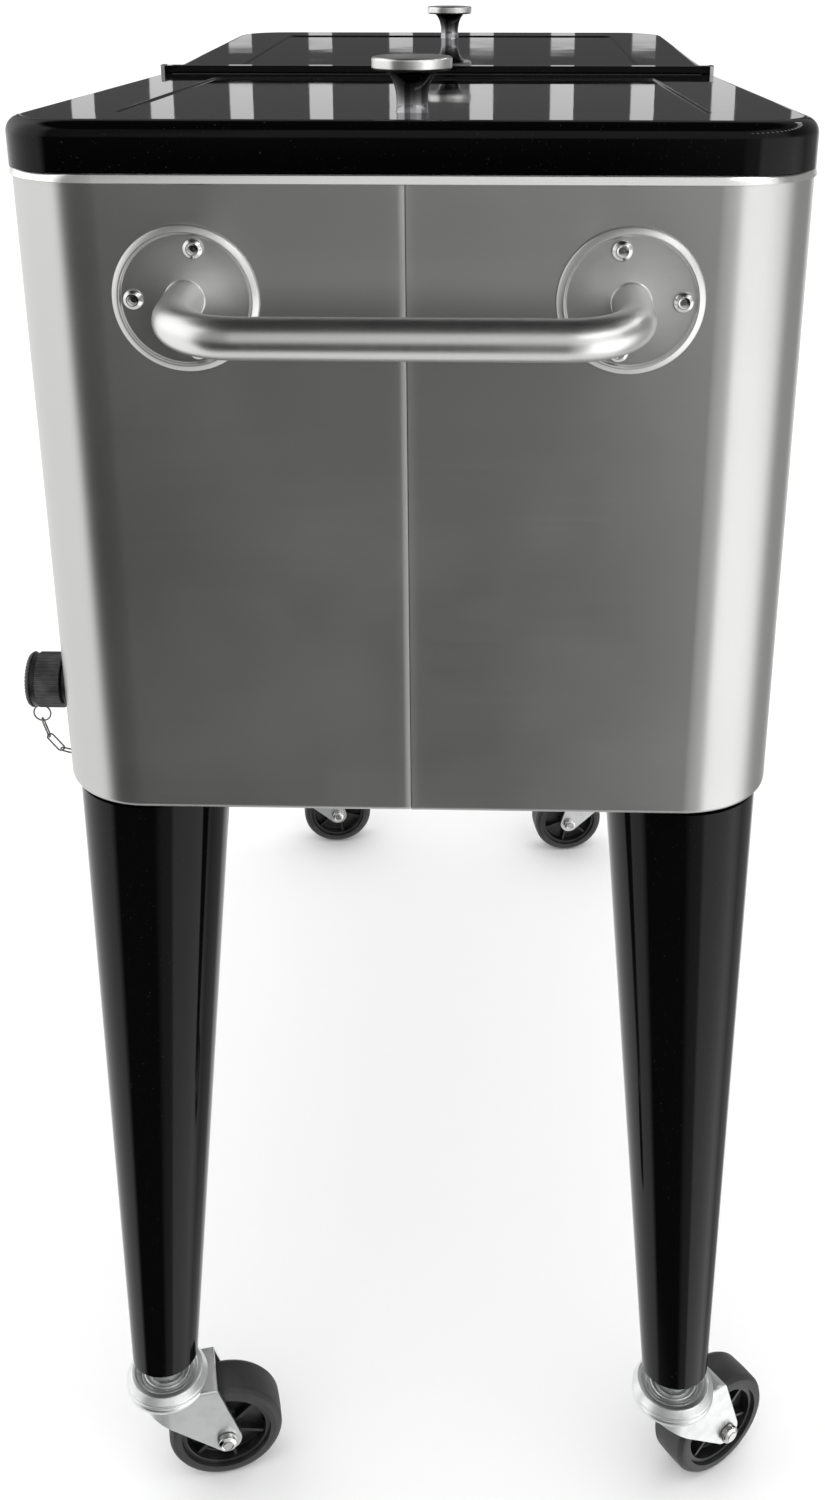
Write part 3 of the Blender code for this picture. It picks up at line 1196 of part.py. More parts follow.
def make_fork(name):
    """Pressed fork: two cheeks under a round top plate with the lower race raised on it."""
    work = bmesh.new()
    top = FORK_TOP_HEIGHT
    turned(work, [
        (0, FORK_UNDER), (FORK_TOP_RADIUS - FORK_SHEET, FORK_UNDER),
        (FORK_TOP_RADIUS, FORK_UNDER + FORK_SHEET), (FORK_TOP_RADIUS, top - FORK_SHEET / 2),
        (FORK_TOP_RADIUS - FORK_SHEET / 2, top), (0, top),
    ], SMALL_SIDES)
    fork = make_object(name, work, ZINC, math.radians(35))
    cheeks = bmesh.new()
    for side in (-1, 1):
        inner = side * FORK_INSIDE
        outer = side * (FORK_INSIDE + FORK_SHEET)
        add_rings(cheeks, [[Vector((x, y, z)) for x, z in fork_side_outline()] for y in (inner, outer)])
    use_boolean(fork, make_cutter(name + "_cheeks", cheeks), "UNION")
    half_angle = math.asin((FORK_INSIDE + FORK_SHEET / 2) / FORK_TOP_RADIUS)
    skirt = bmesh.new()
    inner = FORK_TOP_RADIUS - FORK_SHEET
    outer = FORK_TOP_RADIUS - FORK_SHEET / 8
    low = top - FORK_SKIRT
    high = top - FORK_SHEET
    corners = [(inner, low), (outer, low), (outer, high), (inner, high)]
    add_rings(skirt, [
        [Vector((radius * math.cos(angle), radius * math.sin(angle), z)) for radius, z in corners]
        for angle in (math.pi + half_angle * step / 3 for step in range(-3, 4))
    ])
    use_boolean(fork, make_cutter(name + "_skirt", skirt), "UNION")
    reach = FORK_INSIDE + FORK_SHEET + CUT_OVERRUN
    axle_frame = facing((CASTER_TRAIL, 0, WHEEL_RADIUS), (0, 1, 0))
    holes = bmesh.new()
    turned(holes, solid_round(AXLE_RADIUS + FIT_GAP, -reach, reach), TUBE_SIDES, axle_frame)
    pin_hole = solid_round(KINGPIN_RADIUS + FIT_GAP, FORK_UNDER - CUT_OVERRUN, top + CUT_OVERRUN)
    turned(holes, pin_hole, TUBE_SIDES)
    use_boolean(fork, make_cutter(name + "_bores", holes), "DIFFERENCE")
    return fork


def make_axle(name):
    reach = FORK_INSIDE + FORK_SHEET + FIT_GAP
    head = reach + AXLE_HEAD_THICKNESS
    axle_frame = facing((CASTER_TRAIL, 0, WHEEL_RADIUS), (0, 1, 0))
    work = bmesh.new()
    turned(work, [
        (0, -head), (AXLE_HEAD_RADIUS, -head), (AXLE_HEAD_RADIUS, -reach), (AXLE_RADIUS, -reach),
        (AXLE_RADIUS, reach), (AXLE_HEAD_RADIUS, reach), (AXLE_HEAD_RADIUS, head), (0, head),
    ], TUBE_SIDES, axle_frame)
    return make_object(name, work, BRIGHT_STEEL, math.radians(35))


def make_hub(name):
    """Moulded wheel centre with both faces recessed round the axle boss."""
    half = HUB_WIDTH / 2
    rim = WHEEL_RADIUS - TYRE_THICKNESS
    web = half - HUB_RECESS
    bore = AXLE_RADIUS + FIT_GAP
    boss = TYRE_WIDTH / 2 + FORK_SIDE_GAP - FIT_GAP
    profile = [
        (bore, -boss), (HUB_BOSS_RADIUS, -boss), (HUB_BOSS_RADIUS, -web), (rim - HUB_RIM, -web),
        (rim - HUB_RIM, -half), (rim, -half), (rim, half), (rim - HUB_RIM, half),
        (rim - HUB_RIM, web), (HUB_BOSS_RADIUS, web), (HUB_BOSS_RADIUS, boss), (bore, boss),
    ]
    work = bmesh.new()
    turned(work, profile, SMALL_SIDES, facing((0, 0, 0), (0, 1, 0)))
    return make_object(name, work, BLACK_PLASTIC, math.radians(35))


def make_tyre(name):
    half = TYRE_WIDTH / 2
    inner = WHEEL_RADIUS - TYRE_THICKNESS + FIT_GAP
    shoulder = TYRE_SHOULDER
    profile = [
        (inner, -half), (WHEEL_RADIUS - shoulder, -half), (WHEEL_RADIUS, -half + shoulder),
        (WHEEL_RADIUS, half - shoulder), (WHEEL_RADIUS - shoulder, half), (inner, half),
    ]
    work = bmesh.new()
    turned(work, profile, WIDE_SIDES, facing((0, 0, 0), (0, 1, 0)))
    return make_object(name, work, GREY_RUBBER, math.radians(50))


for corner_name, (across, along, heading) in CASTERS.items():
    foot = Vector((across * LEG_FOOT_X, along * LEG_FOOT_Y, 0))
    stem = bmesh.new()
    turned(stem, race_profile(), TUBE_SIDES, Matrix.Translation(foot))
    make_object("caster_stem_" + corner_name, stem, ZINC, math.radians(35))
    swivel = make_pivot("swivel_" + corner_name, foot, heading)
    spin = make_pivot("axle_line_" + corner_name, (CASTER_TRAIL, 0, WHEEL_RADIUS), 0, swivel)
    for piece in (make_fork("fork_" + corner_name), make_axle("axle_" + corner_name)):
        piece.parent = swivel
    for piece in (make_hub("wheel_" + corner_name), make_tyre("tyre_" + corner_name)):
        piece.parent = spin
guides = [item for item in bpy.data.objects if item.display_type == "WIRE"]
for wire in [guide for guide in guides if guide.name.startswith("fork_")]:
    wire.parent = bpy.data.objects["swivel_" + wire.name.removeprefix("fork_").rsplit("_", 1)[0]]
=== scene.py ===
# Rolling patio cooler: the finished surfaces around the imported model. Metres, +Z up; the
# photographed end faces -Y, and the drain is on the -X side.
import json
import math

import bmesh
import bpy
from mathutils import Matrix, Vector

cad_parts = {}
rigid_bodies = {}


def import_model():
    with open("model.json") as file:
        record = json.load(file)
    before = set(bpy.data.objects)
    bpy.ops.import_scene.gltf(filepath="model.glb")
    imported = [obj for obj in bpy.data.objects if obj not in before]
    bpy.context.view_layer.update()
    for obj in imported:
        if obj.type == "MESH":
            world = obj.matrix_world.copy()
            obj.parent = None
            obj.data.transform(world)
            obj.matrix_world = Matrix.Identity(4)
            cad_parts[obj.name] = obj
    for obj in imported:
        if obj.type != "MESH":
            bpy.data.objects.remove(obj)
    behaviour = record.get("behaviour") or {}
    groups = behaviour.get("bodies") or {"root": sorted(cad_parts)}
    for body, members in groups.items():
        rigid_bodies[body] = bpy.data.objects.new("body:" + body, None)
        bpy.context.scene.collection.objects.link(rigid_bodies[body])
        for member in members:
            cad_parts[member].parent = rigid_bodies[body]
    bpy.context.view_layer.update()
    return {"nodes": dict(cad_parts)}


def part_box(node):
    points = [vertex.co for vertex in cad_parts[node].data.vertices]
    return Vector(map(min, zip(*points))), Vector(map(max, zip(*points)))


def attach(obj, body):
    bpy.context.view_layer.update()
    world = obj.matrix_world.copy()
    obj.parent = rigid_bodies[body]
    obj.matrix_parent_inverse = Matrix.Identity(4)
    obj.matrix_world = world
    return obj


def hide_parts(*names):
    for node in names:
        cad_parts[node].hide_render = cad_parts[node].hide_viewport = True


for old in list(bpy.data.objects):
    bpy.data.objects.remove(old, do_unlink=True)
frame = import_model()

# Studio.
# The cooler stands on a plain pale floor. The camera is close to one short end, a little above
# the lids. The light is soft: white air all round and one wide lamp overhead.
CAMERA_PLACE = (0.04011, -1.13628, 0.95763)
CAMERA_DOWN = 0.37694
CAMERA_TURN = 0.02686
CAMERA_LENS = 36.97
CAMERA_SHIFT = (-0.025, -0.1288)
bpy.ops.object.camera_add(location=CAMERA_PLACE, rotation=(math.pi / 2 - CAMERA_DOWN, 0, CAMERA_TURN))
camera = bpy.context.object
camera.name = "camera"
camera.data.sensor_width = 36
camera.data.lens = CAMERA_LENS
camera.data.shift_x, camera.data.shift_y = CAMERA_SHIFT
bpy.context.scene.camera = camera
bpy.context.scene.view_settings.view_transform = "Standard"

FLOOR_SIZE = 80
FLOOR_PAINT = 0.93
bpy.ops.mesh.primitive_plane_add(size=FLOOR_SIZE)
floor = bpy.context.object
floor.name = "floor"
floor.visible_glossy = False
floor_paint = bpy.data.materials.new("floor_paint")
floor_paint.use_nodes = True
pale = floor_paint.node_tree.nodes["Principled BSDF"]
pale.inputs["Base Color"].default_value = (FLOOR_PAINT, FLOOR_PAINT, FLOOR_PAINT, 1)
pale.inputs["Roughness"].default_value = 0.9
pale.inputs["Specular IOR Level"].default_value = 0.1
floor.data.materials.append(floor_paint)

LAMP_PLACE = (0.3, -0.4, 3.0)
LAMP_SIZE = 2.4
LAMP_WATTS = 9
bpy.ops.object.light_add(type="AREA", location=LAMP_PLACE)
overhead = bpy.context.object
overhead.name = "overhead"
overhead.data.size = LAMP_SIZE
overhead.data.energy = LAMP_WATTS
overhead.visible_camera = False
overhead.visible_glossy = False

# What polished surfaces see: soft walls, by their compass angle from the front towards +X and
# their brightness; behind the cooler one row of lit panes, all alike and evenly spaced; and high
# on the right a row of small lamps. A pair is where an edge starts and ends: on a direction of
# length 1, as a slope for the panes' top, or in degrees for the first and last lamp.
LOW_WALLS = (
    (-180, 1.0), (-65, 1.2), (-55, 0.0), (5, 0.0), (15, 0.5), (30, 0.6), (35, 1.8), (85, 1.8),
    (105, 0.5), (140, 0.4), (150, 1.0), (180, 1.0),
)
HIGH_WALLS = (
    (-180, 0.2), (-150, 0.4), (-120, 1.5), (-65, 1.5), (-50, 0.3), (-15, 0.4), (-10, 0.75), (25, 0.9),
    (40, 1.2), (65, 1.1), (80, 0.3), (180, 0.3),
)
WALLS_MEET = (-0.12, 0.10)
CEILING_EDGE = (0.70, 0.80)
CEILING_GREY = 0.02
GROUND_EDGE = (-0.70, -0.84)
GROUND_GREY = 0.9
PANES_SIDE = (0.90, 0.93)
PANES_FOOT = (0, 0.002)
PANES_TOP = (0.1, 0.101)
PANE_SPACING = 0.05
PANE_EDGE = (0.70, 0.72)
PANE_LIT = 0.8
PANE_DARK = 0.1
DOT_SPACING = 8
DOT_EDGE = (0.62, 0.66)
DOT_LOW, DOT_HIGH = (0.50, 0.52), (0.60, 0.58)
DOT_FIRST, DOT_LAST = (20, 24), (150, 146)
DOT_BRIGHTNESS = 9
AIR_BRIGHTNESS = 1.3
studio = bpy.data.worlds.new("studio")
bpy.context.scene.world = studio
studio.cycles.sampling_method = "NONE"
studio.use_nodes = True
nodes, links = studio.node_tree.nodes, studio.node_tree.links
coordinates = nodes.new("ShaderNodeTexCoord")
way = nodes.new("ShaderNodeSeparateXYZ")
links.new(coordinates.outputs["Generated"], way.inputs["Vector"])
aside, ahead, height = (way.outputs[axis] for axis in "XYZ")


def calculated(operation, *values):
    """The result of a sum on sockets and numbers."""
    step = nodes.new("ShaderNodeMath")
    step.operation = operation
    for place, value in enumerate(values):
        if isinstance(value, (int, float)):
            step.inputs[place].default_value = value
        else:
            links.new(value, step.inputs[place])
    return step.outputs["Value"]


def ranged(value, low, high):
    """Maps a value from a range to 0..1, and holds it there."""
    step = nodes.new("ShaderNodeMapRange")
    step.inputs["From Min"].default_value = low
    step.inputs["From Max"].default_value = high
    links.new(value, step.inputs["Value"])
    return step.outputs["Result"]


def plain_grey(brightness):
    grey = nodes.new("ShaderNodeRGB")
    grey.outputs["Color"].default_value = (brightness, brightness, brightness, 1)
    return grey.outputs["Color"]


def blended(share, first, second):
    """Two colours mixed: a share of 0 gives the first."""
    mix = nodes.new("ShaderNodeMix")
    mix.data_type = "RGBA"
    links.new(share, mix.inputs["Factor"])
    links.new(first, mix.inputs["A"])
    links.new(second, mix.inputs["B"])
    return mix.outputs["Result"]


compass = calculated("ARCTAN2", aside, calculated("MULTIPLY", ahead, -1))
compass = calculated("MULTIPLY", compass, 180 / math.pi)


def walls_round(stops):
    """Greys that follow the compass angle."""
    ramp = nodes.new("ShaderNodeValToRGB")
    marks = ramp.color_ramp.elements
    while len(marks) < len(stops):
        marks.new(0.5)
    for mark, (angle, brightness) in zip(marks, stops):
        mark.position = (angle + 180) / 360
        mark.color = (brightness, brightness, brightness, 1)
    links.new(ranged(compass, -180, 180), ramp.inputs["Fac"])
    return ramp.outputs["Color"]


pane = calculated("FRACT", calculated("DIVIDE", calculated("DIVIDE", aside, ahead), PANE_SPACING))
panes = blended(ranged(pane, *PANE_EDGE), plain_grey(PANE_DARK), plain_grey(PANE_LIT))
panes = blended(ranged(calculated("DIVIDE", height, ahead), *PANES_TOP), panes, plain_grey(PANE_DARK))
behind = calculated("MULTIPLY", ranged(ahead, *PANES_SIDE), ranged(height, *PANES_FOOT))
walls = blended(ranged(height, *WALLS_MEET), walls_round(LOW_WALLS), walls_round(HIGH_WALLS))
walls = blended(behind, walls, panes)
walls = blended(ranged(height, *CEILING_EDGE), walls, plain_grey(CEILING_GREY))
dots = ranged(calculated("FRACT", calculated("DIVIDE", compass, DOT_SPACING)), *DOT_EDGE)
for value, edge in ((height, DOT_LOW), (height, DOT_HIGH), (compass, DOT_FIRST), (compass, DOT_LAST)):
    dots = calculated("MULTIPLY", dots, ranged(value, *edge))
walls = blended(dots, walls, plain_grey(DOT_BRIGHTNESS))
walls = blended(ranged(height, *GROUND_EDGE), walls, plain_grey(GROUND_GREY))
soft = nodes["Background"]
soft.inputs["Color"].default_value = (1, 1, 1, 1)
soft.inputs["Strength"].default_value = AIR_BRIGHTNESS
room = nodes.new("ShaderNodeBackground")
links.new(walls, room.inputs["Color"])
ray = nodes.new("ShaderNodeLightPath")
both = nodes.new("ShaderNodeMixShader")
links.new(ray.outputs["Is Glossy Ray"], both.inputs["Fac"])
links.new(soft.outputs["Background"], both.inputs[1])
links.new(room.outputs["Background"], both.inputs[2])
links.new(both.outputs["Shader"], nodes["World Output"].inputs["Surface"])

# Body shells.
# Two halves of thin stainless sheet, brushed along their length, bent round the ends of the
# body and joined at a seam in the middle of each end. Their lower edges roll under the pan.
CORNER_BEND = 0.052
CORNER_STEPS = 24
SEAM_BANDS = (0.009, 0.0045, 0.0018, 0)
SEAM_SWELLS = {-1: (0, -0.0001, -0.0004, -0.0010), 1: (0, 0, 0.0001, 0.0003)}
SEAM_LAP = 0.0007
LOWER_ROLL = 0.003
LOWER_FLANGE = 0.014
SHEET = 0.0008
TOUCHING = 0.00002
SMOOTH_ANGLE = math.radians(32)
BEAD_PROFILE = ((0, 0.0001), (0.0006, 0.0012), (0.0019, 0.00095), (0.0032, 0.0006), (0.0042, 0.0002))
BEAD_DROP = 0.0008
LINES_DEPTH = 0.0000008
LINES_SHADE = 0.95
LINES_DULL = 0.03
LINES_TURN = 0.25
SMEAR_DULLS = 0.05
SIDES = (("left", -1), ("right", 1))
ENDS = (("near", -1), ("far", 1))


def named(name):
    """Names the piece that was just added."""
    piece = bpy.context.object
    piece.name = name
    piece.data.name = name
    return piece


def deselect():
    bpy.ops.object.select_all(action="DESELECT")


def pick(piece):
    deselect()
    piece.select_set(True)
    bpy.context.view_layer.objects.active = piece


def settle(piece):
    """Puts a piece's place and turn into its mesh."""
    pick(piece)
    bpy.ops.object.transform_apply(location=True, rotation=True, scale=True)


def block(name, low, high):
    low, high = Vector(low), Vector(high)
    deselect()
    bpy.ops.mesh.primitive_cube_add(size=1, location=(low + high) / 2, scale=high - low)
    piece = named(name)
    settle(piece)
    return piece


def open_up(piece):
    pick(piece)
    bpy.ops.object.mode_set(mode="EDIT")
    bpy.ops.mesh.select_mode(type="VERT")


def close_up():
    bpy.ops.object.mode_set(mode="OBJECT")


def choose_all():
    bpy.ops.mesh.select_all(action="SELECT")


def draw_out(x, y, z):
    """Extrudes what is chosen by a step."""
    bpy.ops.mesh.extrude_region_move(TRANSFORM_OT_translate={"value": (x, y, z)})


def take_off(kind):
    bpy.ops.mesh.delete(type=kind)


def shift(x, y, z):
    bpy.ops.transform.translate(value=(x, y, z))


def round_over(radius, steps):
    """Bevels the chosen edges."""
    bpy.ops.mesh.bevel(offset=radius, segments=steps, affect="EDGES")


def round_uprights(piece, radius, steps):
    choose(piece, "EDGE", lambda at, way: near(abs(way.z), 1))
    round_over(radius, steps)


def face_out():
    """Turns all faces outwards."""
    choose_all()
    bpy.ops.mesh.normals_make_consistent(inside=False)


def choose(piece, kind, test):
    """Selects the corners, edges or faces whose middle and direction pass a test."""
    bpy.ops.mesh.select_mode(type=kind)
    bpy.ops.mesh.select_all(action="DESELECT")
    mesh = bmesh.from_edit_mesh(piece.data)
    if kind == "FACE":
        for face in mesh.faces:
            face.select_set(bool(test(face.calc_center_median(), face.normal)))
    elif kind == "EDGE":
        for edge in mesh.edges:
            start, end = (corner.co for corner in edge.verts)
            edge.select_set(bool(test((start + end) / 2, (end - start).normalized())))
    else:
        for corner in mesh.verts:
            corner.select_set(bool(test(corner.co, corner.normal)))
    mesh.select_flush_mode()
    bmesh.update_edit_mesh(piece.data)


def near(a, b):
    return abs(a - b) < TOUCHING


def apply_all(piece):
    pick(piece)
    for modifier in list(piece.modifiers):
        bpy.ops.object.modifier_apply(modifier=modifier.name)


def thicken(piece, thickness):
    """Gives a skin its wall, inwards."""
    wall = piece.modifiers.new("wall", "SOLIDIFY")
    wall.thickness = thickness
    wall.offset = -1
    wall.use_even_offset = True
    apply_all(piece)


def fit(piece, body, finish, replaced=(), angle=SMOOTH_ANGLE, evened=True):
    """Shades a finished piece, gives it its finish and lets it ride on its body."""
    settle(piece)
    bpy.ops.object.shade_smooth_by_angle(angle=angle)
    if evened:
        even = piece.modifiers.new("even", "WEIGHTED_NORMAL")
        even.keep_sharp = True
    apply_all(piece)
    piece.data.materials.clear()
    piece.data.materials.append(finish)
    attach(piece, body)
    if replaced:
        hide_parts(*replaced)
    return piece


def new_finish(name, colour, metallic, roughness):
    """A new material with plain values on its own shader."""
    finish = bpy.data.materials.new(name)
    finish.use_nodes = True
    shader = finish.node_tree.nodes["Principled BSDF"]
    shader.inputs["Base Color"].default_value = (*colour, 1)
    shader.inputs["Metallic"].default_value = metallic
    shader.inputs["Roughness"].default_value = roughness
    return finish, finish.node_tree.nodes, finish.node_tree.links, shader


def new_effect(name, inputs, outputs):
    """An empty node group with a socket for each named input and output."""
    effect = bpy.data.node_groups.new(name, "ShaderNodeTree")
    for label, kind in inputs:
        effect.interface.new_socket(label, in_out="INPUT", socket_type=kind)
    for label, kind in outputs:
        effect.interface.new_socket(label, in_out="OUTPUT", socket_type=kind)
    given, made = effect.nodes.new("NodeGroupInput"), effect.nodes.new("NodeGroupOutput")
    return effect, effect.nodes, effect.links, given, made


def scaled_places(nodes, links, scale):
    """The piece's own coordinates, stretched along each axis."""
    places = nodes.new("ShaderNodeTexCoord")
    stretch = nodes.new("ShaderNodeMapping")
    stretch.inputs["Scale"].default_value = scale
    links.new(places.outputs["Object"], stretch.inputs["Vector"])
    return stretch.outputs["Vector"]


def place_effect(nodes, links, effect, vector, **values):
    """Places an effect in a material, on stretched coordinates and with its own values."""
    placed = nodes.new("ShaderNodeGroup")
    placed.node_tree = effect
    links.new(vector, placed.inputs["Vector"])
    for label, value in values.items():
        placed.inputs[label].default_value = value
    return placed


def spread(nodes, links, value, low, high):
    """Maps a mask from 0..1 to a range."""
    mapped = nodes.new("ShaderNodeMapRange")
    mapped.inputs["To Min"].default_value = low
    mapped.inputs["To Max"].default_value = high
    links.new(value, mapped.inputs["Value"])
    return mapped.outputs["Result"]


def emboss(nodes, links, shader, height, distance):
    """Lets a height raise the surface by a distance in metres."""
    bump = nodes.new("ShaderNodeBump")
    bump.inputs["Distance"].default_value = distance
    links.new(height, bump.inputs["Height"])
    links.new(bump.outputs["Normal"], shader.inputs["Normal"])


def grain_relief(nodes, links, shader, scale, distance, detail=2):
    """Noise that raises the surface by a distance in metres."""
    noise = nodes.new("ShaderNodeTexNoise")
    noise.inputs["Scale"].default_value = scale
    noise.inputs["Detail"].default_value = detail
    links.new(scaled_places(nodes, links, (1, 1, 1)), noise.inputs["Vector"])
    emboss(nodes, links, shader, noise.outputs["Fac"], distance)


def tint(nodes, links, shader, mask, dark, light):
    """Lets a mask move the colour between two greys."""
    mix = nodes.new("ShaderNodeMix")
    mix.data_type = "RGBA"
    mix.inputs["A"].default_value = (*dark, 1)
    mix.inputs["B"].default_value = (*light, 1)
    links.new(mask, mix.inputs["Factor"])
    links.new(mix.outputs["Result"], shader.inputs["Base Color"])


# Brushing: the fine lines of the belt
brushing, nodes, links, given, made = new_effect(
    "brushing", [("Vector", "NodeSocketVector")], [("Lines", "NodeSocketFloat")]
)
lines = nodes.new("ShaderNodeTexNoise")
lines.inputs["Scale"].default_value = 1
lines.inputs["Detail"].default_value = 3
links.new(given.outputs["Vector"], lines.inputs["Vector"])
links.new(lines.outputs["Fac"], made.inputs["Lines"])

# Handling: faint smears and finger marks that dull a polished surface
handling, nodes, links, given, made = new_effect(
    "handling", [("Vector", "NodeSocketVector"), ("Amount", "NodeSocketFloat")], [("Smear", "NodeSocketFloat")]
)
cloud = nodes.new("ShaderNodeTexNoise")
cloud.inputs["Scale"].default_value = 1
cloud.inputs["Detail"].default_value = 5
cloud.inputs["Roughness"].default_value = 0.6
ramp = nodes.new("ShaderNodeMapRange")
ramp.inputs["From Min"].default_value = 0.45
ramp.inputs["From Max"].default_value = 0.75
times = nodes.new("ShaderNodeMath")
times.operation = "MULTIPLY"
links.new(given.outputs["Vector"], cloud.inputs["Vector"])
links.new(cloud.outputs["Fac"], ramp.inputs["Value"])
links.new(ramp.outputs["Result"], times.inputs[0])
links.new(given.outputs["Amount"], times.inputs[1])
links.new(times.outputs["Value"], made.inputs["Smear"])


def smear_mask(nodes, links, scale, amount):
    marks = place_effect(nodes, links, handling, scaled_places(nodes, links, (scale, scale, scale)), Amount=amount)
    return marks.outputs["Smear"]


def dull(nodes, links, shader, mask, low, high):
    """Lets a mask move the roughness over a range."""
    links.new(spread(nodes, links, mask, low, high), shader.inputs["Roughness"])


def brushed_finish(name, colour, roughness, grain, smear, anisotropy):
    """Stainless with fine lines: grain is the stretch of the lines along X, Y and Z."""
    finish, nodes, links, shader = new_finish(name, colour, 1, roughness)
    shader.inputs["Anisotropic"].default_value = anisotropy
    shader.inputs["Anisotropic Rotation"].default_value = LINES_TURN
    lines = place_effect(nodes, links, brushing, scaled_places(nodes, links, grain)).outputs["Lines"]
    dulled = nodes.new("ShaderNodeMath")
    dulled.operation = "MULTIPLY_ADD"
    links.new(smear_mask(nodes, links, smear, 1), dulled.inputs[0])
    dulled.inputs[1].default_value = SMEAR_DULLS
    links.new(spread(nodes, links, lines, roughness - LINES_DULL, roughness + LINES_DULL), dulled.inputs[2])
    links.new(dulled.outputs["Value"], shader.inputs["Roughness"])
    tint(nodes, links, shader, lines, [share * LINES_SHADE for share in colour], colour)
    emboss(nodes, links, shader, lines, LINES_DEPTH)
    tangent = nodes.new("ShaderNodeTangent")
    tangent.direction_type = "RADIAL"
    tangent.axis = "Z"
    links.new(tangent.outputs["Tangent"], shader.inputs["Tangent"])
    return finish


body_steel = brushed_finish("body_steel", (0.535, 0.535, 0.527), 0.30, (14, 14, 3200), 7, 0.9)
for side_name, side in SIDES:
    low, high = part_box("shell_" + side_name)
    seam = high.x if side < 0 else low.x
    outer = low.x if side < 0 else high.x
    end_y = high.y
    shell = block("shell_" + side_name + "_skin", low, high)
    open_up(shell)
    choose(shell, "EDGE", lambda at, way: near(abs(way.z), 1) and near(at.x, outer))
    round_over(CORNER_BEND, CORNER_STEPS)
    choose(shell, "FACE", lambda at, way: near(at.x, seam) or near(at.z, high.z))
    take_off("FACE")
    for inset in SEAM_BANDS[:-1]:
        choose_all()
        bpy.ops.mesh.bisect(plane_co=(seam + side * inset, 0, 0), plane_no=(1, 0, 0))
    for inset, swell in zip(SEAM_BANDS, SEAM_SWELLS[side]):
        choose(shell, "VERT", lambda at, way: near(at.x, seam + side * inset) and near(abs(at.y), end_y))
        bpy.ops.transform.resize(value=(1, 1 + swell / end_y, 1))
    if side > 0:
        choose(shell, "VERT", lambda at, way: near(at.x, seam))
        shift(-SEAM_LAP, 0, 0)
        seam -= SEAM_LAP
    choose(shell, "EDGE", lambda at, way: near(at.z, low.z) and not near(at.x, seam) and abs(at.y) > 0.1 or (
        near(at.z, low.z) and near(at.x, outer)))
    round_over(LOWER_ROLL, 4)
    choose(shell, "FACE", lambda at, way: near(way.z, -1) and near(at.z, low.z))
    bpy.ops.mesh.inset(thickness=LOWER_FLANGE - LOWER_ROLL, use_boundary=True)
    take_off("FACE")
    close_up()
    thicken(shell, SHEET)
    fit(shell, "cabinet", body_steel, ["shell_" + side_name])

# The bead along the top edge: its height and how far it stands out, step by step
bead_low = high.z - BEAD_DROP
bead_steel = brushed_finish("bead_steel", (0.86, 0.86, 0.85), 0.20, (14, 14, 3200), 7, 0.4)
bead = block("top_bead", (-outer, -end_y, bead_low), (outer, end_y, bead_low + SHEET))
open_up(bead)
round_uprights(bead, CORNER_BEND, CORNER_STEPS)
choose(bead, "FACE", lambda at, way: near(abs(way.z), 1))
take_off("FACE")
choose(bead, "VERT", lambda at, way: at.z > bead_low + TOUCHING)
take_off("VERT")
choose_all()
start = outset = 0
for rise, grow in BEAD_PROFILE:
    if rise > start:
        draw_out(0, 0, rise - start)
    bpy.ops.transform.resize(value=((outer + grow) / (outer + outset), (end_y + grow) / (end_y + outset), 1))
    start, outset = rise, grow
face_out()
close_up()
thicken(bead, SHEET)
fit(bead, "cabinet", bead_steel)

# A near-black block behind the seam gap at each end, painted shade: it stands in for the shadow inside the joint
# and hides the foam behind it
SEAM_SHADE_HALF = 0.003
SEAM_SHADE_DEPTH = (0.0014, 0.0010)
# Painted shade: this near-black colour stands in for the shadow in the seam gap
seam_shade_dark, nodes, links, shader = new_finish("seam_shade_dark", (0.01, 0.01, 0.01), 0, 0.8)
grain_relief(nodes, links, shader, 800, 0.0001)
for end_name, end in ENDS:
    depths = sorted(end * (end_y - depth) for depth in SEAM_SHADE_DEPTH)
    shade_block_low = (-SEAM_SHADE_HALF, depths[0], low.z + 0.002)
    # Painted shade: a dark block set behind the seam, where there is only the shadow of the gap
    shade_block = block("seam_shade_block_" + end_name, shade_block_low, (SEAM_SHADE_HALF, depths[1], high.z - 0.001))
    open_up(shade_block)
    round_uprights(shade_block, 0.00015, 2)
    close_up()
    fit(shade_block, "cabinet", seam_shade_dark)

# Tub.
# One deep-drawn stainless liner: a flat rim that lies over the foam, a rounded mouth and a
# flat floor, with a punched hole for the drain.
RIM_WIDTH = 0.0255
RIM_CORNER = 0.0465
MOUTH_CORNER = 0.030
RIM_ROLL = 0.0018
FLOOR_ROLL = 0.008
MOUTH_ROLL = 0.0015
RIM_DROP = 0.0071
TUB_FLOOR = 0.5407
DRAIN_Y = -0.325
DRAIN_Z = 0.5562
SPOUT_HOLE = 0.0083


def pipe_cutter(name, place, axis, radius, depth, sides=48):
    turn = Vector(axis).to_track_quat("Z", "Y").to_euler()
    deselect()
    bpy.ops.mesh.primitive_cylinder_add(radius=radius, depth=depth, vertices=sides, location=place, rotation=turn)
    return named(name)


def carve(piece, cutter, operation="DIFFERENCE"):
    cut = piece.modifiers.new("cut", "BOOLEAN")
    cut.operation = operation
    cut.object = cutter
    apply_all(piece)
    bpy.data.objects.remove(cutter, do_unlink=True)


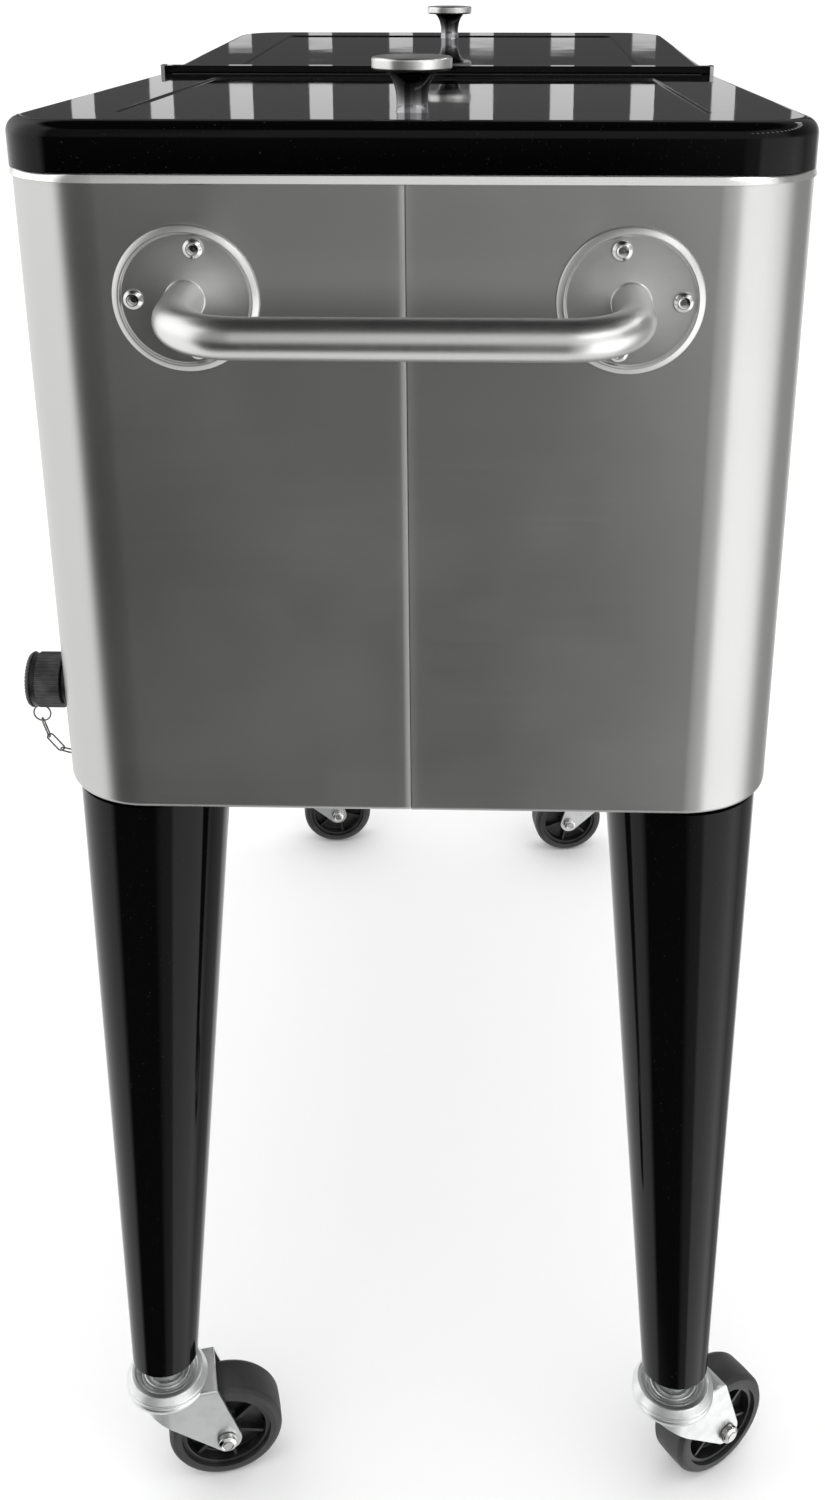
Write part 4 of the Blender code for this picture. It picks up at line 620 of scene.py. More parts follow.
low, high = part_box("tub")
rim_top = high.z
mouth_x = high.x - RIM_WIDTH
mouth_y = high.y - RIM_WIDTH
tub = block("tub_liner", (-mouth_x, -mouth_y, TUB_FLOOR), (mouth_x, mouth_y, rim_top))
open_up(tub)
round_uprights(tub, MOUTH_CORNER, 14)
choose(tub, "EDGE", lambda at, way: near(at.z, TUB_FLOOR))
round_over(FLOOR_ROLL, 6)
choose(tub, "FACE", lambda at, way: near(at.z, rim_top))
take_off("ONLY_FACE")
choose(tub, "EDGE", lambda at, way: near(at.z, rim_top))
draw_out(0, 0, 0)
inner = Vector((mouth_x - MOUTH_CORNER, mouth_y - MOUTH_CORNER))
outer = Vector((high.x - RIM_CORNER, high.y - RIM_CORNER))
for corner in bmesh.from_edit_mesh(tub.data).verts:
    if corner.select:
        quarter = Vector((math.copysign(1, corner.co.x), math.copysign(1, corner.co.y)))
        corner.co.xy = outer * quarter + (corner.co.xy - inner * quarter) * RIM_CORNER / MOUTH_CORNER
draw_out(0, 0, -RIM_DROP)
for middle, corner_radius, roll in ((outer, RIM_CORNER, RIM_ROLL), (inner, MOUTH_CORNER, MOUTH_ROLL)):
    choose(tub, "EDGE", lambda at, way: near(at.z, rim_top) and abs(way.z) < 0.1 and abs(
        math.hypot(max(abs(at.x) - middle.x, 0), max(abs(at.y) - middle.y, 0)) - corner_radius) < 0.001)
    round_over(roll, 4)
choose_all()
bpy.ops.mesh.normals_make_consistent(inside=True)
close_up()
thicken(tub, SHEET)
carve(tub, pipe_cutter("drain_punch", (low.x, DRAIN_Y, DRAIN_Z), (1, 0, 0), SPOUT_HOLE, 0.08))
tub_steel = brushed_finish("tub_steel", (0.66, 0.66, 0.65), 0.30, (900, 9, 9), 9, 0.4)
tub_steel.node_tree.nodes["Principled BSDF"].inputs["Metallic"].default_value = 0.55
fit(tub, "cabinet", tub_steel, ["tub"])

# Lids.
# Two pressed steel lids in high gloss black enamel, with a round outer edge, a shallow panel
# pressed into the top, and a rolled barrel at the inner edge that turns on the hinge rod.
LID_TOP = 0.883
LID_CORNER = 0.042
LID_EDGE = 0.008
LID_FALL = 0.008
LID_SHEET = 0.0012
PANEL_SIDE = 0.043
PANEL_OUTER = 0.040
PANEL_INNER = 0.034
PANEL_DEPTH = 0.0009
KNOB_SINK = 0.002
PANEL_DRAFT = 0.0022
PANEL_CORNER = 0.005
BARREL_RADIUS = 0.006
ROD_RADIUS = 0.0025
ROD_PLAY = 0.0003
HINGE_Y = 0.0125
HINGE_Z = 0.8695
BARREL_HALF = 0.1847
LID_OUTER_Y = 0.402
HALF_TURN = Matrix.Rotation(math.pi, 4, "Z")


def join(piece, other):
    pick(piece)
    other.select_set(True)
    bpy.ops.object.join()


def soften(piece, degrees, width):
    """Breaks the edges that are sharper than an angle."""
    edge = piece.modifiers.new("soften", "BEVEL")
    edge.limit_method = "ANGLE"
    edge.angle_limit = math.radians(degrees)
    edge.width = width
    edge.segments = 2
    apply_all(piece)


def twin(piece, name, matrix):
    """A copy of a piece with its own mesh, put somewhere else."""
    pick(piece)
    bpy.ops.object.duplicate(linked=False)
    made = named(name)
    made.matrix_world = matrix @ made.matrix_world
    settle(made)
    return made


def enamel_finish(name, colour, roughness, ripple):
    """Black enamel: mirror gloss with a slow ripple, faint smears and a little dust on top."""
    finish, nodes, links, shader = new_finish(name, colour, 0, roughness)
    shader.inputs["IOR"].default_value = 1.5
    shader.inputs["Specular IOR Level"].default_value = 0.15
    dull(nodes, links, shader, smear_mask(nodes, links, 11, 0.5), roughness, roughness + 0.10)
    grain_relief(nodes, links, shader, ripple, 0.00004, detail=1)
    specks = nodes.new("ShaderNodeTexNoise")
    specks.inputs["Scale"].default_value = 900
    links.new(scaled_places(nodes, links, (1, 1, 1)), specks.inputs["Vector"])
    dusty = nodes.new("ShaderNodeMapRange")
    dusty.inputs["From Min"].default_value = 0.70
    dusty.inputs["From Max"].default_value = 0.80
    links.new(specks.outputs["Fac"], dusty.inputs["Value"])
    tint(nodes, links, shader, dusty.outputs["Result"], colour, (0.03, 0.03, 0.03))
    return finish


lid_enamel = enamel_finish("lid_enamel", (0.001, 0.001, 0.001), 0.02, 18)
low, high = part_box("lid_far")
lid = block("lid_far_skin", (low.x, low.y, low.z), (high.x, LID_OUTER_Y, high.z + (high.z - low.z)))
open_up(lid)
choose(lid, "VERT", lambda at, way: at.z > LID_TOP)
shift(0, 0, LID_TOP - high.z - (high.z - low.z))
choose(lid, "VERT", lambda at, way: near(at.z, LID_TOP) and near(at.y, low.y))
fall = LID_FALL * (LID_OUTER_Y - low.y) / (LID_OUTER_Y - HINGE_Y)
shift(0, 0, -fall)
choose(lid, "EDGE", lambda at, way: near(abs(way.z), 1) and near(at.y, LID_OUTER_Y))
round_over(LID_CORNER, 20)
choose(lid, "EDGE", lambda at, way: at.z > low.z + LID_EDGE and not near(at.y, low.y) and abs(way.z) < 0.5)
round_over(LID_EDGE, 8)
close_up()


def lid_top_at(y):
    """The lids fall towards the middle of the cooler."""
    return LID_TOP - LID_FALL * (LID_OUTER_Y - y) / (LID_OUTER_Y - HINGE_Y)


panel_x = high.x - PANEL_SIDE
panel_y = (HINGE_Y + PANEL_INNER, LID_OUTER_Y - PANEL_OUTER)
panel = block("panel_press", (-panel_x, panel_y[0], 0), (panel_x, panel_y[1], LID_EDGE))
open_up(panel)
round_uprights(panel, PANEL_CORNER, 6)
choose(panel, "VERT", lambda at, way: near(at.z, 0))
panel_middle = (0, sum(panel_y) / 2, 0)
shrink = (1 - PANEL_DRAFT * 4 / panel_x, 1 - PANEL_DRAFT * 8 / (panel_y[1] - panel_y[0]), 1)
bpy.ops.transform.resize(value=shrink, center_override=panel_middle)
close_up()
slope = math.atan2(LID_FALL, LID_OUTER_Y - HINGE_Y)
panel.location = (0, 0, lid_top_at(0) - PANEL_DEPTH)
panel.rotation_euler = (slope, 0, 0)
settle(panel)
carve(lid, panel)
open_up(lid)
choose(lid, "FACE", lambda at, way: near(at.z, low.z) or near(at.y, low.y))
take_off("FACE")
choose_all()
bpy.ops.mesh.bisect(plane_co=(0, HINGE_Y, 0), plane_no=(0, 1, 0), clear_inner=True)
close_up()
soften(lid, 28, 0.0006)
thicken(lid, LID_SHEET)
barrel = pipe_cutter("lid_barrel", (0, HINGE_Y, HINGE_Z), (1, 0, 0), BARREL_RADIUS, 2 * BARREL_HALF, 40)
bore_radius = ROD_RADIUS + ROD_PLAY
carve(barrel, pipe_cutter("barrel_bore", (0, HINGE_Y, HINGE_Z), (1, 0, 0), bore_radius, 3 * BARREL_HALF, 24))
join(lid, barrel)
near_lid = twin(lid, "lid_near_skin", HALF_TURN)
fit(lid, "far_lid", lid_enamel, ["lid_far"])
fit(near_lid, "near_lid", lid_enamel, ["lid_near"])

# Lid knobs.
# A flared stem in dark mirror chrome, screwed down from inside the lid, carries a flat cap of
# brushed steel with a rounded rim.
KNOB_Y = 0.342
KNOB_SEAT = lid_top_at(KNOB_Y) - KNOB_SINK
STEM_HEIGHT = 0.0214
NECK_RADIUS = 0.0078
NECK_TOP = 0.0060
FLARE_RADIUS = 0.0150
CAP_THICKNESS = 0.0066


def turned_piece(name, outline, place=Matrix.Identity(4), sides=64):
    """A turned part: half its outline is drawn point by point, then spun a full turn."""
    deselect()
    bpy.ops.mesh.primitive_plane_add(size=0.01)
    piece = named(name)
    open_up(piece)
    choose_all()
    bpy.ops.mesh.merge(type="CENTER")
    radius, height = outline[0]
    shift(radius, 0, height)
    for here, there in zip(outline, outline[1:]):
        draw_out(there[0] - here[0], 0, there[1] - here[1])
    choose_all()
    bpy.ops.mesh.spin(steps=sides, angle=math.tau, center=(0, 0, 0), axis=(0, 0, 1))
    choose_all()
    bpy.ops.mesh.remove_doubles(threshold=0.000005)
    face_out()
    close_up()
    piece.matrix_world = place
    settle(piece)
    return piece


def rounded(points, steps=5):
    """An outline whose corners with a third value are rounded by that radius."""
    made = []
    for i, point in enumerate(points):
        here = Vector(point[:2])
        if len(point) < 3:
            made.append(tuple(here))
            continue
        back = (Vector(points[i - 1][:2]) - here).normalized()
        ahead = (Vector(points[i + 1][:2]) - here).normalized()
        half = back.angle(ahead) / 2
        middle = here + (back + ahead).normalized() * point[2] / math.sin(half)
        start = here + back * point[2] / math.tan(half) - middle
        end = here + ahead * point[2] / math.tan(half) - middle
        sweep = start.angle(end)
        for step in range(steps + 1):
            share = step / steps
            mixed = start * math.sin((1 - share) * sweep) + end * math.sin(share * sweep)
            made.append(tuple(middle + mixed / math.sin(sweep)))
    return made


dark_chrome, nodes, links, shader = new_finish("dark_chrome", (0.34, 0.34, 0.35), 1, 0.05)
dull(nodes, links, shader, smear_mask(nodes, links, 60, 0.6), 0.04, 0.16)
cap_steel = brushed_finish("cap_steel", (0.80, 0.80, 0.79), 0.30, (60, 60, 1200), 30, 0.5)
flute = [(0, 0), (0.0088, 0), (0.0084, 0.0006), (0.0079, 0.0026), (NECK_RADIUS, NECK_TOP)]
for step in range(1, 9):
    angle = math.pi / 2 * step / 9
    reach = NECK_RADIUS + (FLARE_RADIUS - NECK_RADIUS) * (1 - math.cos(angle))
    flute.append((reach, NECK_TOP + (STEM_HEIGHT - NECK_TOP) * math.sin(angle)))
flute += [(FLARE_RADIUS, STEM_HEIGHT), (0, STEM_HEIGHT)]
cap_low = STEM_HEIGHT + 0.0001
cap_line = rounded([
    (0, cap_low), (0.0190, cap_low, 0.0008), (0.0200, cap_low + 0.0010, 0.0008),
    (0.0200, cap_low + CAP_THICKNESS - 0.0004, 0.0014), (0.0140, cap_low + CAP_THICKNESS, 0.02),
    (0, cap_low + CAP_THICKNESS),
])
for end_name, end in ENDS:
    seat = Matrix.Translation((0, end * KNOB_Y, KNOB_SEAT + 0.0002))
    stem = turned_piece(f"knob_{end_name}_stem_skin", flute, seat, 72)
    fit(stem, end_name + "_lid", dark_chrome, [f"knob_{end_name}_stem"])
    cap = turned_piece(f"knob_{end_name}_cap_skin", cap_line, seat, 72)
    fit(cap, end_name + "_lid", cap_steel, [f"knob_{end_name}_cap"])

# Rail clips.
# A small bright steel clip is pressed over each end of the black rail between the lids.
CLIP_LENGTH = 0.0028
CLIP_PROUD = 0.0005
CLIP_DROP = 0.0155
WEB_HALF = 0.005
low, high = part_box("centre_rail")
for side_name, side in SIDES:
    inner_x = side * (high.x + CLIP_PROUD - CLIP_LENGTH)
    outer_x = side * (high.x + CLIP_PROUD)
    clip_low = (min(inner_x, outer_x), -WEB_HALF - CLIP_PROUD, high.z - CLIP_DROP)
    clip_high = (max(inner_x, outer_x), WEB_HALF + CLIP_PROUD, high.z + CLIP_PROUD)
    clip = block("rail_clip_" + side_name, clip_low, clip_high)
    open_up(clip)
    choose(clip, "EDGE", lambda at, way: near(abs(way.x), 1) and near(at.z, clip_high[2]))
    round_over(0.0012, 4)
    choose(clip, "EDGE", lambda at, way: near(at.x, outer_x))
    round_over(0.0004, 3)
    close_up()
    fit(clip, "cabinet", cap_steel)

# End handles.
# A stainless tube bent at both ends and welded into two pressed flanges. Each flange is a shallow
# cone round the tube with a rolled rim, and three screws go through it.
HANDLE_HALF = 0.107
TUBE_RADIUS = 0.0096
BEND_RADIUS = 0.034
STANDOFF = 0.065
DROOP = 0.004
BODY_END = 0.403
low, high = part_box("handle_near")
flange_z = (low.z + high.z) / 2
satin_steel = brushed_finish("satin_steel", (0.72, 0.72, 0.71), 0.32, (500, 60, 60), 25, 0.35)


def make_handle_tube(name):
    """The tube of the far handle: a ring drawn out of the wall and round both bends."""
    start_y = BODY_END + 0.0020
    out_y = BODY_END + STANDOFF
    deselect()
    bpy.ops.mesh.primitive_circle_add(
        vertices=40, radius=TUBE_RADIUS, location=(-HANDLE_HALF, start_y, flange_z), rotation=(math.pi / 2, 0, 0)
    )
    tube = named(name)
    settle(tube)
    open_up(tube)
    choose_all()
    straight = out_y - BEND_RADIUS - start_y
    draw_out(0, straight, 0)
    first = (-HANDLE_HALF + BEND_RADIUS, out_y - BEND_RADIUS, flange_z)
    bpy.ops.mesh.spin(steps=14, angle=math.pi / 2, center=first, axis=(0, 0, 1))
    run = 2 * (HANDLE_HALF - BEND_RADIUS)
    draw_out(run, 0, 0)
    second = (HANDLE_HALF - BEND_RADIUS, out_y - BEND_RADIUS, flange_z)
    bpy.ops.mesh.spin(steps=14, angle=math.pi / 2, center=second, axis=(0, 0, 1))
    draw_out(0, -straight, 0)
    face_out()
    for corner in bmesh.from_edit_mesh(tube.data).verts:
        corner.co.z -= DROOP * (corner.co.y - start_y) / STANDOFF
    close_up()
    return tube


flange_line = rounded([
    (0.0088, 0.0044), (0.0100, 0.0036, 0.0005), (0.0312, 0.0019, 0.0006), (0.0320, 0.0040, 0.0009),
    (0.0356, 0.0020, 0.0009), (0.0360, 0.0002),
], 6)
far_tube = make_handle_tube("handle_far_tube")
near_tube = twin(far_tube, "handle_near_tube", HALF_TURN)
fit(far_tube, "cabinet", satin_steel, ["handle_far"])
fit(near_tube, "cabinet", satin_steel, ["handle_near"])
flange_steel = brushed_finish("flange_steel", (0.64, 0.64, 0.63), 0.34, (60, 60, 500), 25, 0.30)
flange_seats = {
    (end_name, side_name): Matrix.Translation((side * HANDLE_HALF, end * BODY_END, flange_z))
    @ Matrix.Rotation(-end * math.pi / 2, 4, "X")
    for end_name, end in ENDS for side_name, side in SIDES
}
for (end_name, side_name), seat in flange_seats.items():
    flange = turned_piece(f"handle_{end_name}_flange_{side_name}", flange_line, seat, 96)
    fit(flange, "cabinet", flange_steel, evened=False)

# Flange screws.
# Three bright button-head screws in each flange, with a drive socket, driven into the wall.
SCREW_CIRCLE = 0.025
SCREW_SEAT = 0.0017
SCREW_SPREAD = math.radians(102)
screw_line = rounded([
    (0, 0.0012), (0.0020, 0.0012), (0.0020, 0.0032), (0.0030, 0.0035, 0.0006), (0.0049, 0.0022, 0.0016),
    (0.0053, 0.0004), (0.0053, 0),
], 4)
bright_screw, nodes, links, shader = new_finish("bright_screw", (0.62, 0.62, 0.61), 1, 0.18)
dull(nodes, links, shader, smear_mask(nodes, links, 300, 0.8), 0.14, 0.34)
for (end_name, side_name), seat in flange_seats.items():
    for i in range(3):
        turn = (math.pi if side_name == "left" else 0) + (i - 1) * SCREW_SPREAD
        across, along = SCREW_CIRCLE * math.cos(turn), SCREW_CIRCLE * math.sin(turn)
        on_circle = Matrix.Translation((across, along, SCREW_SEAT))
        screw = turned_piece(f"flange_screw_{end_name}_{side_name}_{i + 1}", screw_line, seat @ on_circle, 24)
        fit(screw, "cabinet", bright_screw)

# Drain.
# A black moulded spout through the wall, clamped by its nut, and a screw cap with fine grip ribs,
# a groove for its retaining ring and a small boss on the end.
DRAIN_X = -0.199
CAP_RADIUS = 0.0165
CAP_RIBS = 44
CAP_RIB_DEPTH = 0.0007
CAP_MOUTH = 0.0093
drain_frame = Matrix.Translation((DRAIN_X, DRAIN_Y, DRAIN_Z)) @ Matrix.Rotation(-math.pi / 2, 4, "Y")


def plastic_finish(name, dark, light):
    """Moulded plastic with a fine grain and scuffs that move it between two greys."""
    finish, nodes, links, shader = new_finish(name, dark, 0, 0.38)
    grain_relief(nodes, links, shader, 2200, 0.00004)
    scuffs = smear_mask(nodes, links, 90, 0.9)
    tint(nodes, links, shader, scuffs, dark, light)
    dull(nodes, links, shader, scuffs, 0.34, 0.55)
    return finish


moulded = plastic_finish("moulded_black", (0.008, 0.008, 0.009), (0.024, 0.024, 0.025))
cap_plastic = plastic_finish("cap_plastic", (0.040, 0.040, 0.042), (0.090, 0.090, 0.092))


def ribbed_cap(name):
    """The cap: a toothed ring drawn up in steps, with the groove, the end and the bore."""
    deselect()
    bpy.ops.mesh.primitive_circle_add(vertices=4 * CAP_RIBS, radius=CAP_RADIUS, location=(0, 0, CAP_MOUTH))
    cap = named(name)
    settle(cap)
    for i, corner in enumerate(cap.data.vertices):
        if i % 4 in (0, 1):
            corner.co.xy *= 1 - CAP_RIB_DEPTH / CAP_RADIUS
    open_up(cap)
    choose_all()
    for rise, grow in (
        (0.0143, 1), (0, 0.87), (0.0034, 1), (0, 1.149), (0.0008, 1), (0.0015, 0.93), (0, 0.30), (0.0023, 1),
        (0, 0.001),
    ):
        draw_out(0, 0, rise)
        bpy.ops.transform.resize(value=(grow, grow, 1))
    bpy.ops.mesh.merge(type="CENTER")
    choose(cap, "EDGE", lambda at, way: near(at.z, CAP_MOUTH))
    for grow, rise in ((0.50, 0), (1, 0.0160), (0.001, 0)):
        draw_out(0, 0, rise)
        bpy.ops.transform.resize(value=(grow, grow, 1))
    bpy.ops.mesh.merge(type="CENTER")
    face_out()
    close_up()
    return cap


cap = ribbed_cap("drain_cap_ribbed")
cap.matrix_world = drain_frame
fit(cap, "cap", cap_plastic, ["drain_cap"])
nut_line = rounded([
    (0.0083, 0.0002), (0.0148, 0.0002), (0.0148, 0.0088, 0.0014), (0.0083, 0.0088), (0.0083, 0.0002),
])
nut = turned_piece("drain_nut_skin", nut_line, drain_frame, 48)
fit(nut, "cabinet", moulded, ["drain_nut"])

# Cap chain.
# A flat black ring turns in the cap's groove. A split ring and four oval links of thin dark wire
# hang from it to a screw eye under the body's edge.
WIRE = 0.0010
chain_wire, nodes, links, shader = new_finish("chain_wire", (0.36, 0.36, 0.35), 1, 0.35)
tint(nodes, links, shader, smear_mask(nodes, links, 400, 1), (0.36, 0.36, 0.35), (0.10, 0.10, 0.10))


def wire_ring(name, radius, place, axis, wire=WIRE / 2, stretch=0):
    """A ring of wire; with a stretch, its two halves are drawn apart into an oval."""
    deselect()
    bpy.ops.mesh.primitive_torus_add(major_radius=radius, minor_radius=wire, major_segments=40, minor_segments=12)
    ring = named(name)
    open_up(ring)
    for side in (-1, 1):
        choose(ring, "VERT", lambda at, way: at.x * side > 0.000001)
        shift(side * stretch / 2, 0, 0)
    close_up()
    ring.matrix_world = Matrix.Translation(place) @ axis
    return ring


retainer = turned_piece("cap_retainer_ring", [
    (0.0146, 0.0240), (0.0157, 0.0240), (0.0157, 0.0266), (0.0146, 0.0266), (0.0146, 0.0240),
], drain_frame, 56)
fit(retainer, "cap_ring", moulded, ["cap_retainer"])
ring_low, ring_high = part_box("chain_split_ring")
split = wire_ring(
    "split_ring_wire", 0.0050, (ring_low + ring_high) / 2, Matrix.Rotation(math.pi / 2, 4, "X")
)
fit(split, "cap_ring", chain_wire, ["chain_split_ring"])
LINK_SLOPES = (-75, -55, -20, 15)
CHAIN_YAW = math.radians(8)
for i, slope in enumerate(LINK_SLOPES):
    low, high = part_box(f"chain_link_{i + 1}")
    slope = math.radians(slope)
    along = Vector((math.cos(CHAIN_YAW) * math.cos(slope), math.sin(CHAIN_YAW) * math.cos(slope), math.sin(slope)))
    broadside = along.cross(Vector((0, 0, 1))).normalized()
    side = along.cross(broadside) if i % 2 else broadside
    axis = Matrix((along, side, along.cross(side))).transposed().to_4x4()
    link = wire_ring(f"chain_link_{i + 1}_wire", 0.0020, (low + high) / 2, axis, stretch=0.0091)
    fit(link, "cabinet", chain_wire, [f"chain_link_{i + 1}"])
low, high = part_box("chain_eye")
eye_middle = Vector(((low.x + high.x) / 2, (low.y + high.y) / 2, low.z + 0.0033))
eye = wire_ring("chain_eye_wire", 0.0028, eye_middle, Matrix.Rotation(math.pi / 2, 4, "Y"))
settle(eye)
shank = pipe_cutter("eye_shank", eye_middle + Vector((0, 0, 0.0058)), (0, 0, 1), 0.0007, 0.0062, 16)
join(eye, shank)
fit(eye, "cabinet", chain_wire, ["chain_eye"])

# Legs.
# Tapered steel tubes in gloss black enamel that lean outwards. Each is welded to a plate, which
# three hexagon bolts hold to the pan, and a plug in its foot takes the caster's stem.
LEG_TOP_RADIUS = 0.043
LEG_FOOT_RADIUS = 0.021
LEG_TOP = (0.151, 0.355)
LEG_FOOT = (0.1656, 0.397)
LEG_LOW = 0.106
PLATE_THICKNESS = 0.003
PLATE_OUTER = (0.187, 0.391)
BOLT_PLACES = ((0.096, 0.300), (0.096, 0.375), (0.171, 0.300))
CORNERS = {"near_left": (-1, -1), "near_right": (1, -1), "far_left": (-1, 1), "far_right": (1, 1)}
leg_enamel = enamel_finish("leg_enamel", (0.002, 0.002, 0.002), 0.07, 14)
low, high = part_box("leg_far_right")
deselect()
bpy.ops.mesh.primitive_cone_add(
    vertices=80, radius1=LEG_FOOT_RADIUS, radius2=LEG_TOP_RADIUS, depth=high.z - LEG_LOW - PLATE_THICKNESS,
    location=(LEG_FOOT[0], LEG_FOOT[1], (high.z - PLATE_THICKNESS + LEG_LOW) / 2),
)
leg = named("leg_far_right_tube")
settle(leg)
open_up(leg)
choose(leg, "VERT", lambda at, way: at.z > LEG_LOW + 0.1)
shift(LEG_TOP[0] - LEG_FOOT[0], LEG_TOP[1] - LEG_FOOT[1], 0)
choose(leg, "FACE", lambda at, way: near(way.z, -1))
bpy.ops.mesh.inset(thickness=0.0016)
draw_out(0, 0, 0.0005)
choose_all()
bpy.ops.mesh.bisect(plane_co=(0, 0, (LEG_LOW + high.z) / 2), plane_no=(0, 0, 1))
close_up()
plate = block("leg_plate", (low.x, low.y, high.z - PLATE_THICKNESS), (*PLATE_OUTER, high.z))


def at_body_corner(at):
    return near(at.x, PLATE_OUTER[0]) and near(at.y, PLATE_OUTER[1])


open_up(plate)
choose(plate, "EDGE", lambda at, way: near(abs(way.z), 1) and not at_body_corner(at))
round_over(0.012, 8)
choose(plate, "EDGE", lambda at, way: near(abs(way.z), 1) and at_body_corner(at))
round_over(0.034, 16)
choose(plate, "EDGE", lambda at, way: near(way.z, 0) and at.z < high.z - PLATE_THICKNESS + TOUCHING)
round_over(0.0006, 2)
close_up()
join(leg, plate)
bolt_line = rounded([(0, -0.0075), (0.0060, -0.0075, 0.0008), (0.0068, -0.0066), (0.0068, -0.0031)], 3)
for corner_name, (across, along) in CORNERS.items():
    mirrored = Matrix.Diagonal((across, along, 1, 1))
    own = twin(leg, f"leg_{corner_name}_skin", Matrix.Identity(4))
    own.data.transform(mirrored)
    if across * along < 0:
        own.data.flip_normals()
    fit(own, "cabinet", leg_enamel, ["leg_" + corner_name])
    for i, (x, y) in enumerate(BOLT_PLACES):
        place = Matrix.Translation((across * x, along * y, high.z))
        bolt = turned_piece(f"leg_bolt_{corner_name}_{i + 1}", bolt_line, place, 6)
        fit(bolt, "cabinet", bright_screw)
bpy.data.objects.remove(leg, do_unlink=True)

# Casters.
# A bright zinc swivel caster under each leg: a stem with a dished upper race, a pressed fork with
# a round skirt in front and two cheeks drawn in to the axle, and a wheel with a rubber tyre.
TRAIL = 0.035
WHEEL_RADIUS = 0.0375
TYRE_HALF = 0.01425
FORK_HALF = 0.01825
FORK_SHEET = 0.0024
FORK_TOP = 0.0840
CHANNEL_TOP = 0.0828
CHANNEL_LOW = -0.02
CHANNEL_END = 0.08
CHEEK_EYE = 0.0098
SKIRT_LOW = 0.0710
CASTER_TURNS = {"near_left": 14, "near_right": 36, "far_left": 8, "far_right": 190}
zinc, nodes, links, shader = new_finish("zinc_plate", (0.72, 0.73, 0.73), 0.95, 0.36)
clouds = smear_mask(nodes, links, 70, 1)
dull(nodes, links, shader, clouds, 0.32, 0.44)
tint(nodes, links, shader, clouds, (0.74, 0.75, 0.75), (0.62, 0.63, 0.63))
grain_relief(nodes, links, shader, 700, 0.000004)
race_line = rounded([
    (0, 0.0711), (0.0084, 0.0711, 0.0008), (0.0084, 0.0738), (0.0055, 0.0738), (0.0055, 0.0846),
    (0.0262, 0.0846, 0.0006), (0.0262, 0.0862, 0.0008), (0.0232, 0.0905, 0.0022), (0.0200, 0.0912, 0.0014),
    (0.0182, 0.0882, 0.0014), (0.0160, 0.0876, 0.0008), (0.0146, 0.0900, 0.0012), (0.0118, 0.0900, 0.0008),
    (0.0112, 0.0884), (0.0104, 0.0884), (0.0104, 0.1052, 0.0006), (0.0050, 0.1056), (0.0048, 0.1240, 0.0008),
    (0, 0.1240),
], 4)
axle_frame = Matrix.Translation((TRAIL, 0, WHEEL_RADIUS)) @ Matrix.Rotation(-math.pi / 2, 4, "X")


def pressed_fork(name):
    """A drawn cup with a flared skirt, joined to a channel that is trimmed to the cheeks' outline."""
    channel = block(name, (-FORK_HALF, -FORK_HALF, CHANNEL_LOW), (CHANNEL_END, FORK_HALF, CHANNEL_TOP))
    open_up(channel)
    choose(channel, "EDGE", lambda at, way: near(abs(way.z), 1) and near(at.x, -FORK_HALF))
    round_over(FORK_HALF - 0.0001, 18)
    choose(channel, "EDGE", lambda at, way: near(at.z, CHANNEL_TOP) and at.x < CHANNEL_END - 0.001)
    round_over(0.003, 4)
    choose(channel, "FACE", lambda at, way: near(at.z, CHANNEL_LOW) or near(at.x, CHANNEL_END))
    take_off("FACE")
    close_up()
    thicken(channel, FORK_SHEET)
    outline = [(0.0310, 0.0816), (0.0240, 0.0850), (-0.0300, 0.0850), (-0.0300, SKIRT_LOW), (-0.0185, SKIRT_LOW)]
    for step in range(9):
        angle = math.radians(238 + (372 - 238) * step / 8)
        outline.append((TRAIL + CHEEK_EYE * math.cos(angle), WHEEL_RADIUS + CHEEK_EYE * math.sin(angle)))
    deselect()
    bpy.ops.mesh.primitive_circle_add(vertices=len(outline), radius=0.01, fill_type="NGON")
    trim = named("cheek_trim")
    for corner, (x, z) in zip(trim.data.vertices, outline):
        corner.co = (x, -0.05, z)
    open_up(trim)
    choose_all()
    draw_out(0, 0.1, 0)
    face_out()
    close_up()
    carve(channel, trim, "INTERSECT")
    cup = turned_piece("fork_cup", rounded([
        (0.0062, FORK_TOP), (0.0264, FORK_TOP, 0.0022), (0.0262, 0.0795, 0.004), (0.0190, SKIRT_LOW),
        (0.0166, SKIRT_LOW), (0.0236, 0.0790, 0.002), (0.0236, FORK_TOP - FORK_SHEET, 0.001),
        (0.0062, FORK_TOP - FORK_SHEET), (0.0062, FORK_TOP),
    ]), sides=96)
    carve(cup, block("skirt_cut", (-0.002, -0.04, 0.05), (0.05, 0.04, 0.0794)))
    carve(channel, cup, "UNION")
    carve(channel, pipe_cutter("axle_bore", (TRAIL, 0, WHEEL_RADIUS), (0, 1, 0), 0.0043, 0.06, 32))
    soften(channel, 50, 0.0003)
    return channel


def wheel_hub(name):
    """A moulded centre, recessed on both faces round its boss, with flat spokes in the recess."""
    hub = turned_piece(name, rounded([
        (0.0043, -0.0156), (0.0095, -0.0156, 0.0008), (0.0100, -0.0050, 0.001), (0.0255, -0.0045, 0.001),
        (0.0262, -0.0120, 0.0006), (0.0292, -0.0120), (0.0292, 0.0120), (0.0262, 0.0120, 0.0006),
        (0.0255, 0.0045, 0.001), (0.0100, 0.0050, 0.001), (0.0095, 0.0156, 0.0008), (0.0043, 0.0156),
        (0.0043, -0.0156),
    ], 3), sides=72)
    for i in range(6):
        spoke = block("spoke", (0.0092, -0.0011, -0.0100), (0.0262, 0.0011, 0.0100))
        spoke.data.transform(Matrix.Rotation(math.tau * (i + 0.3) / 6, 4, "Z"))
        carve(hub, spoke, "UNION")
    hub.matrix_world = axle_frame
    settle(hub)
    return hub


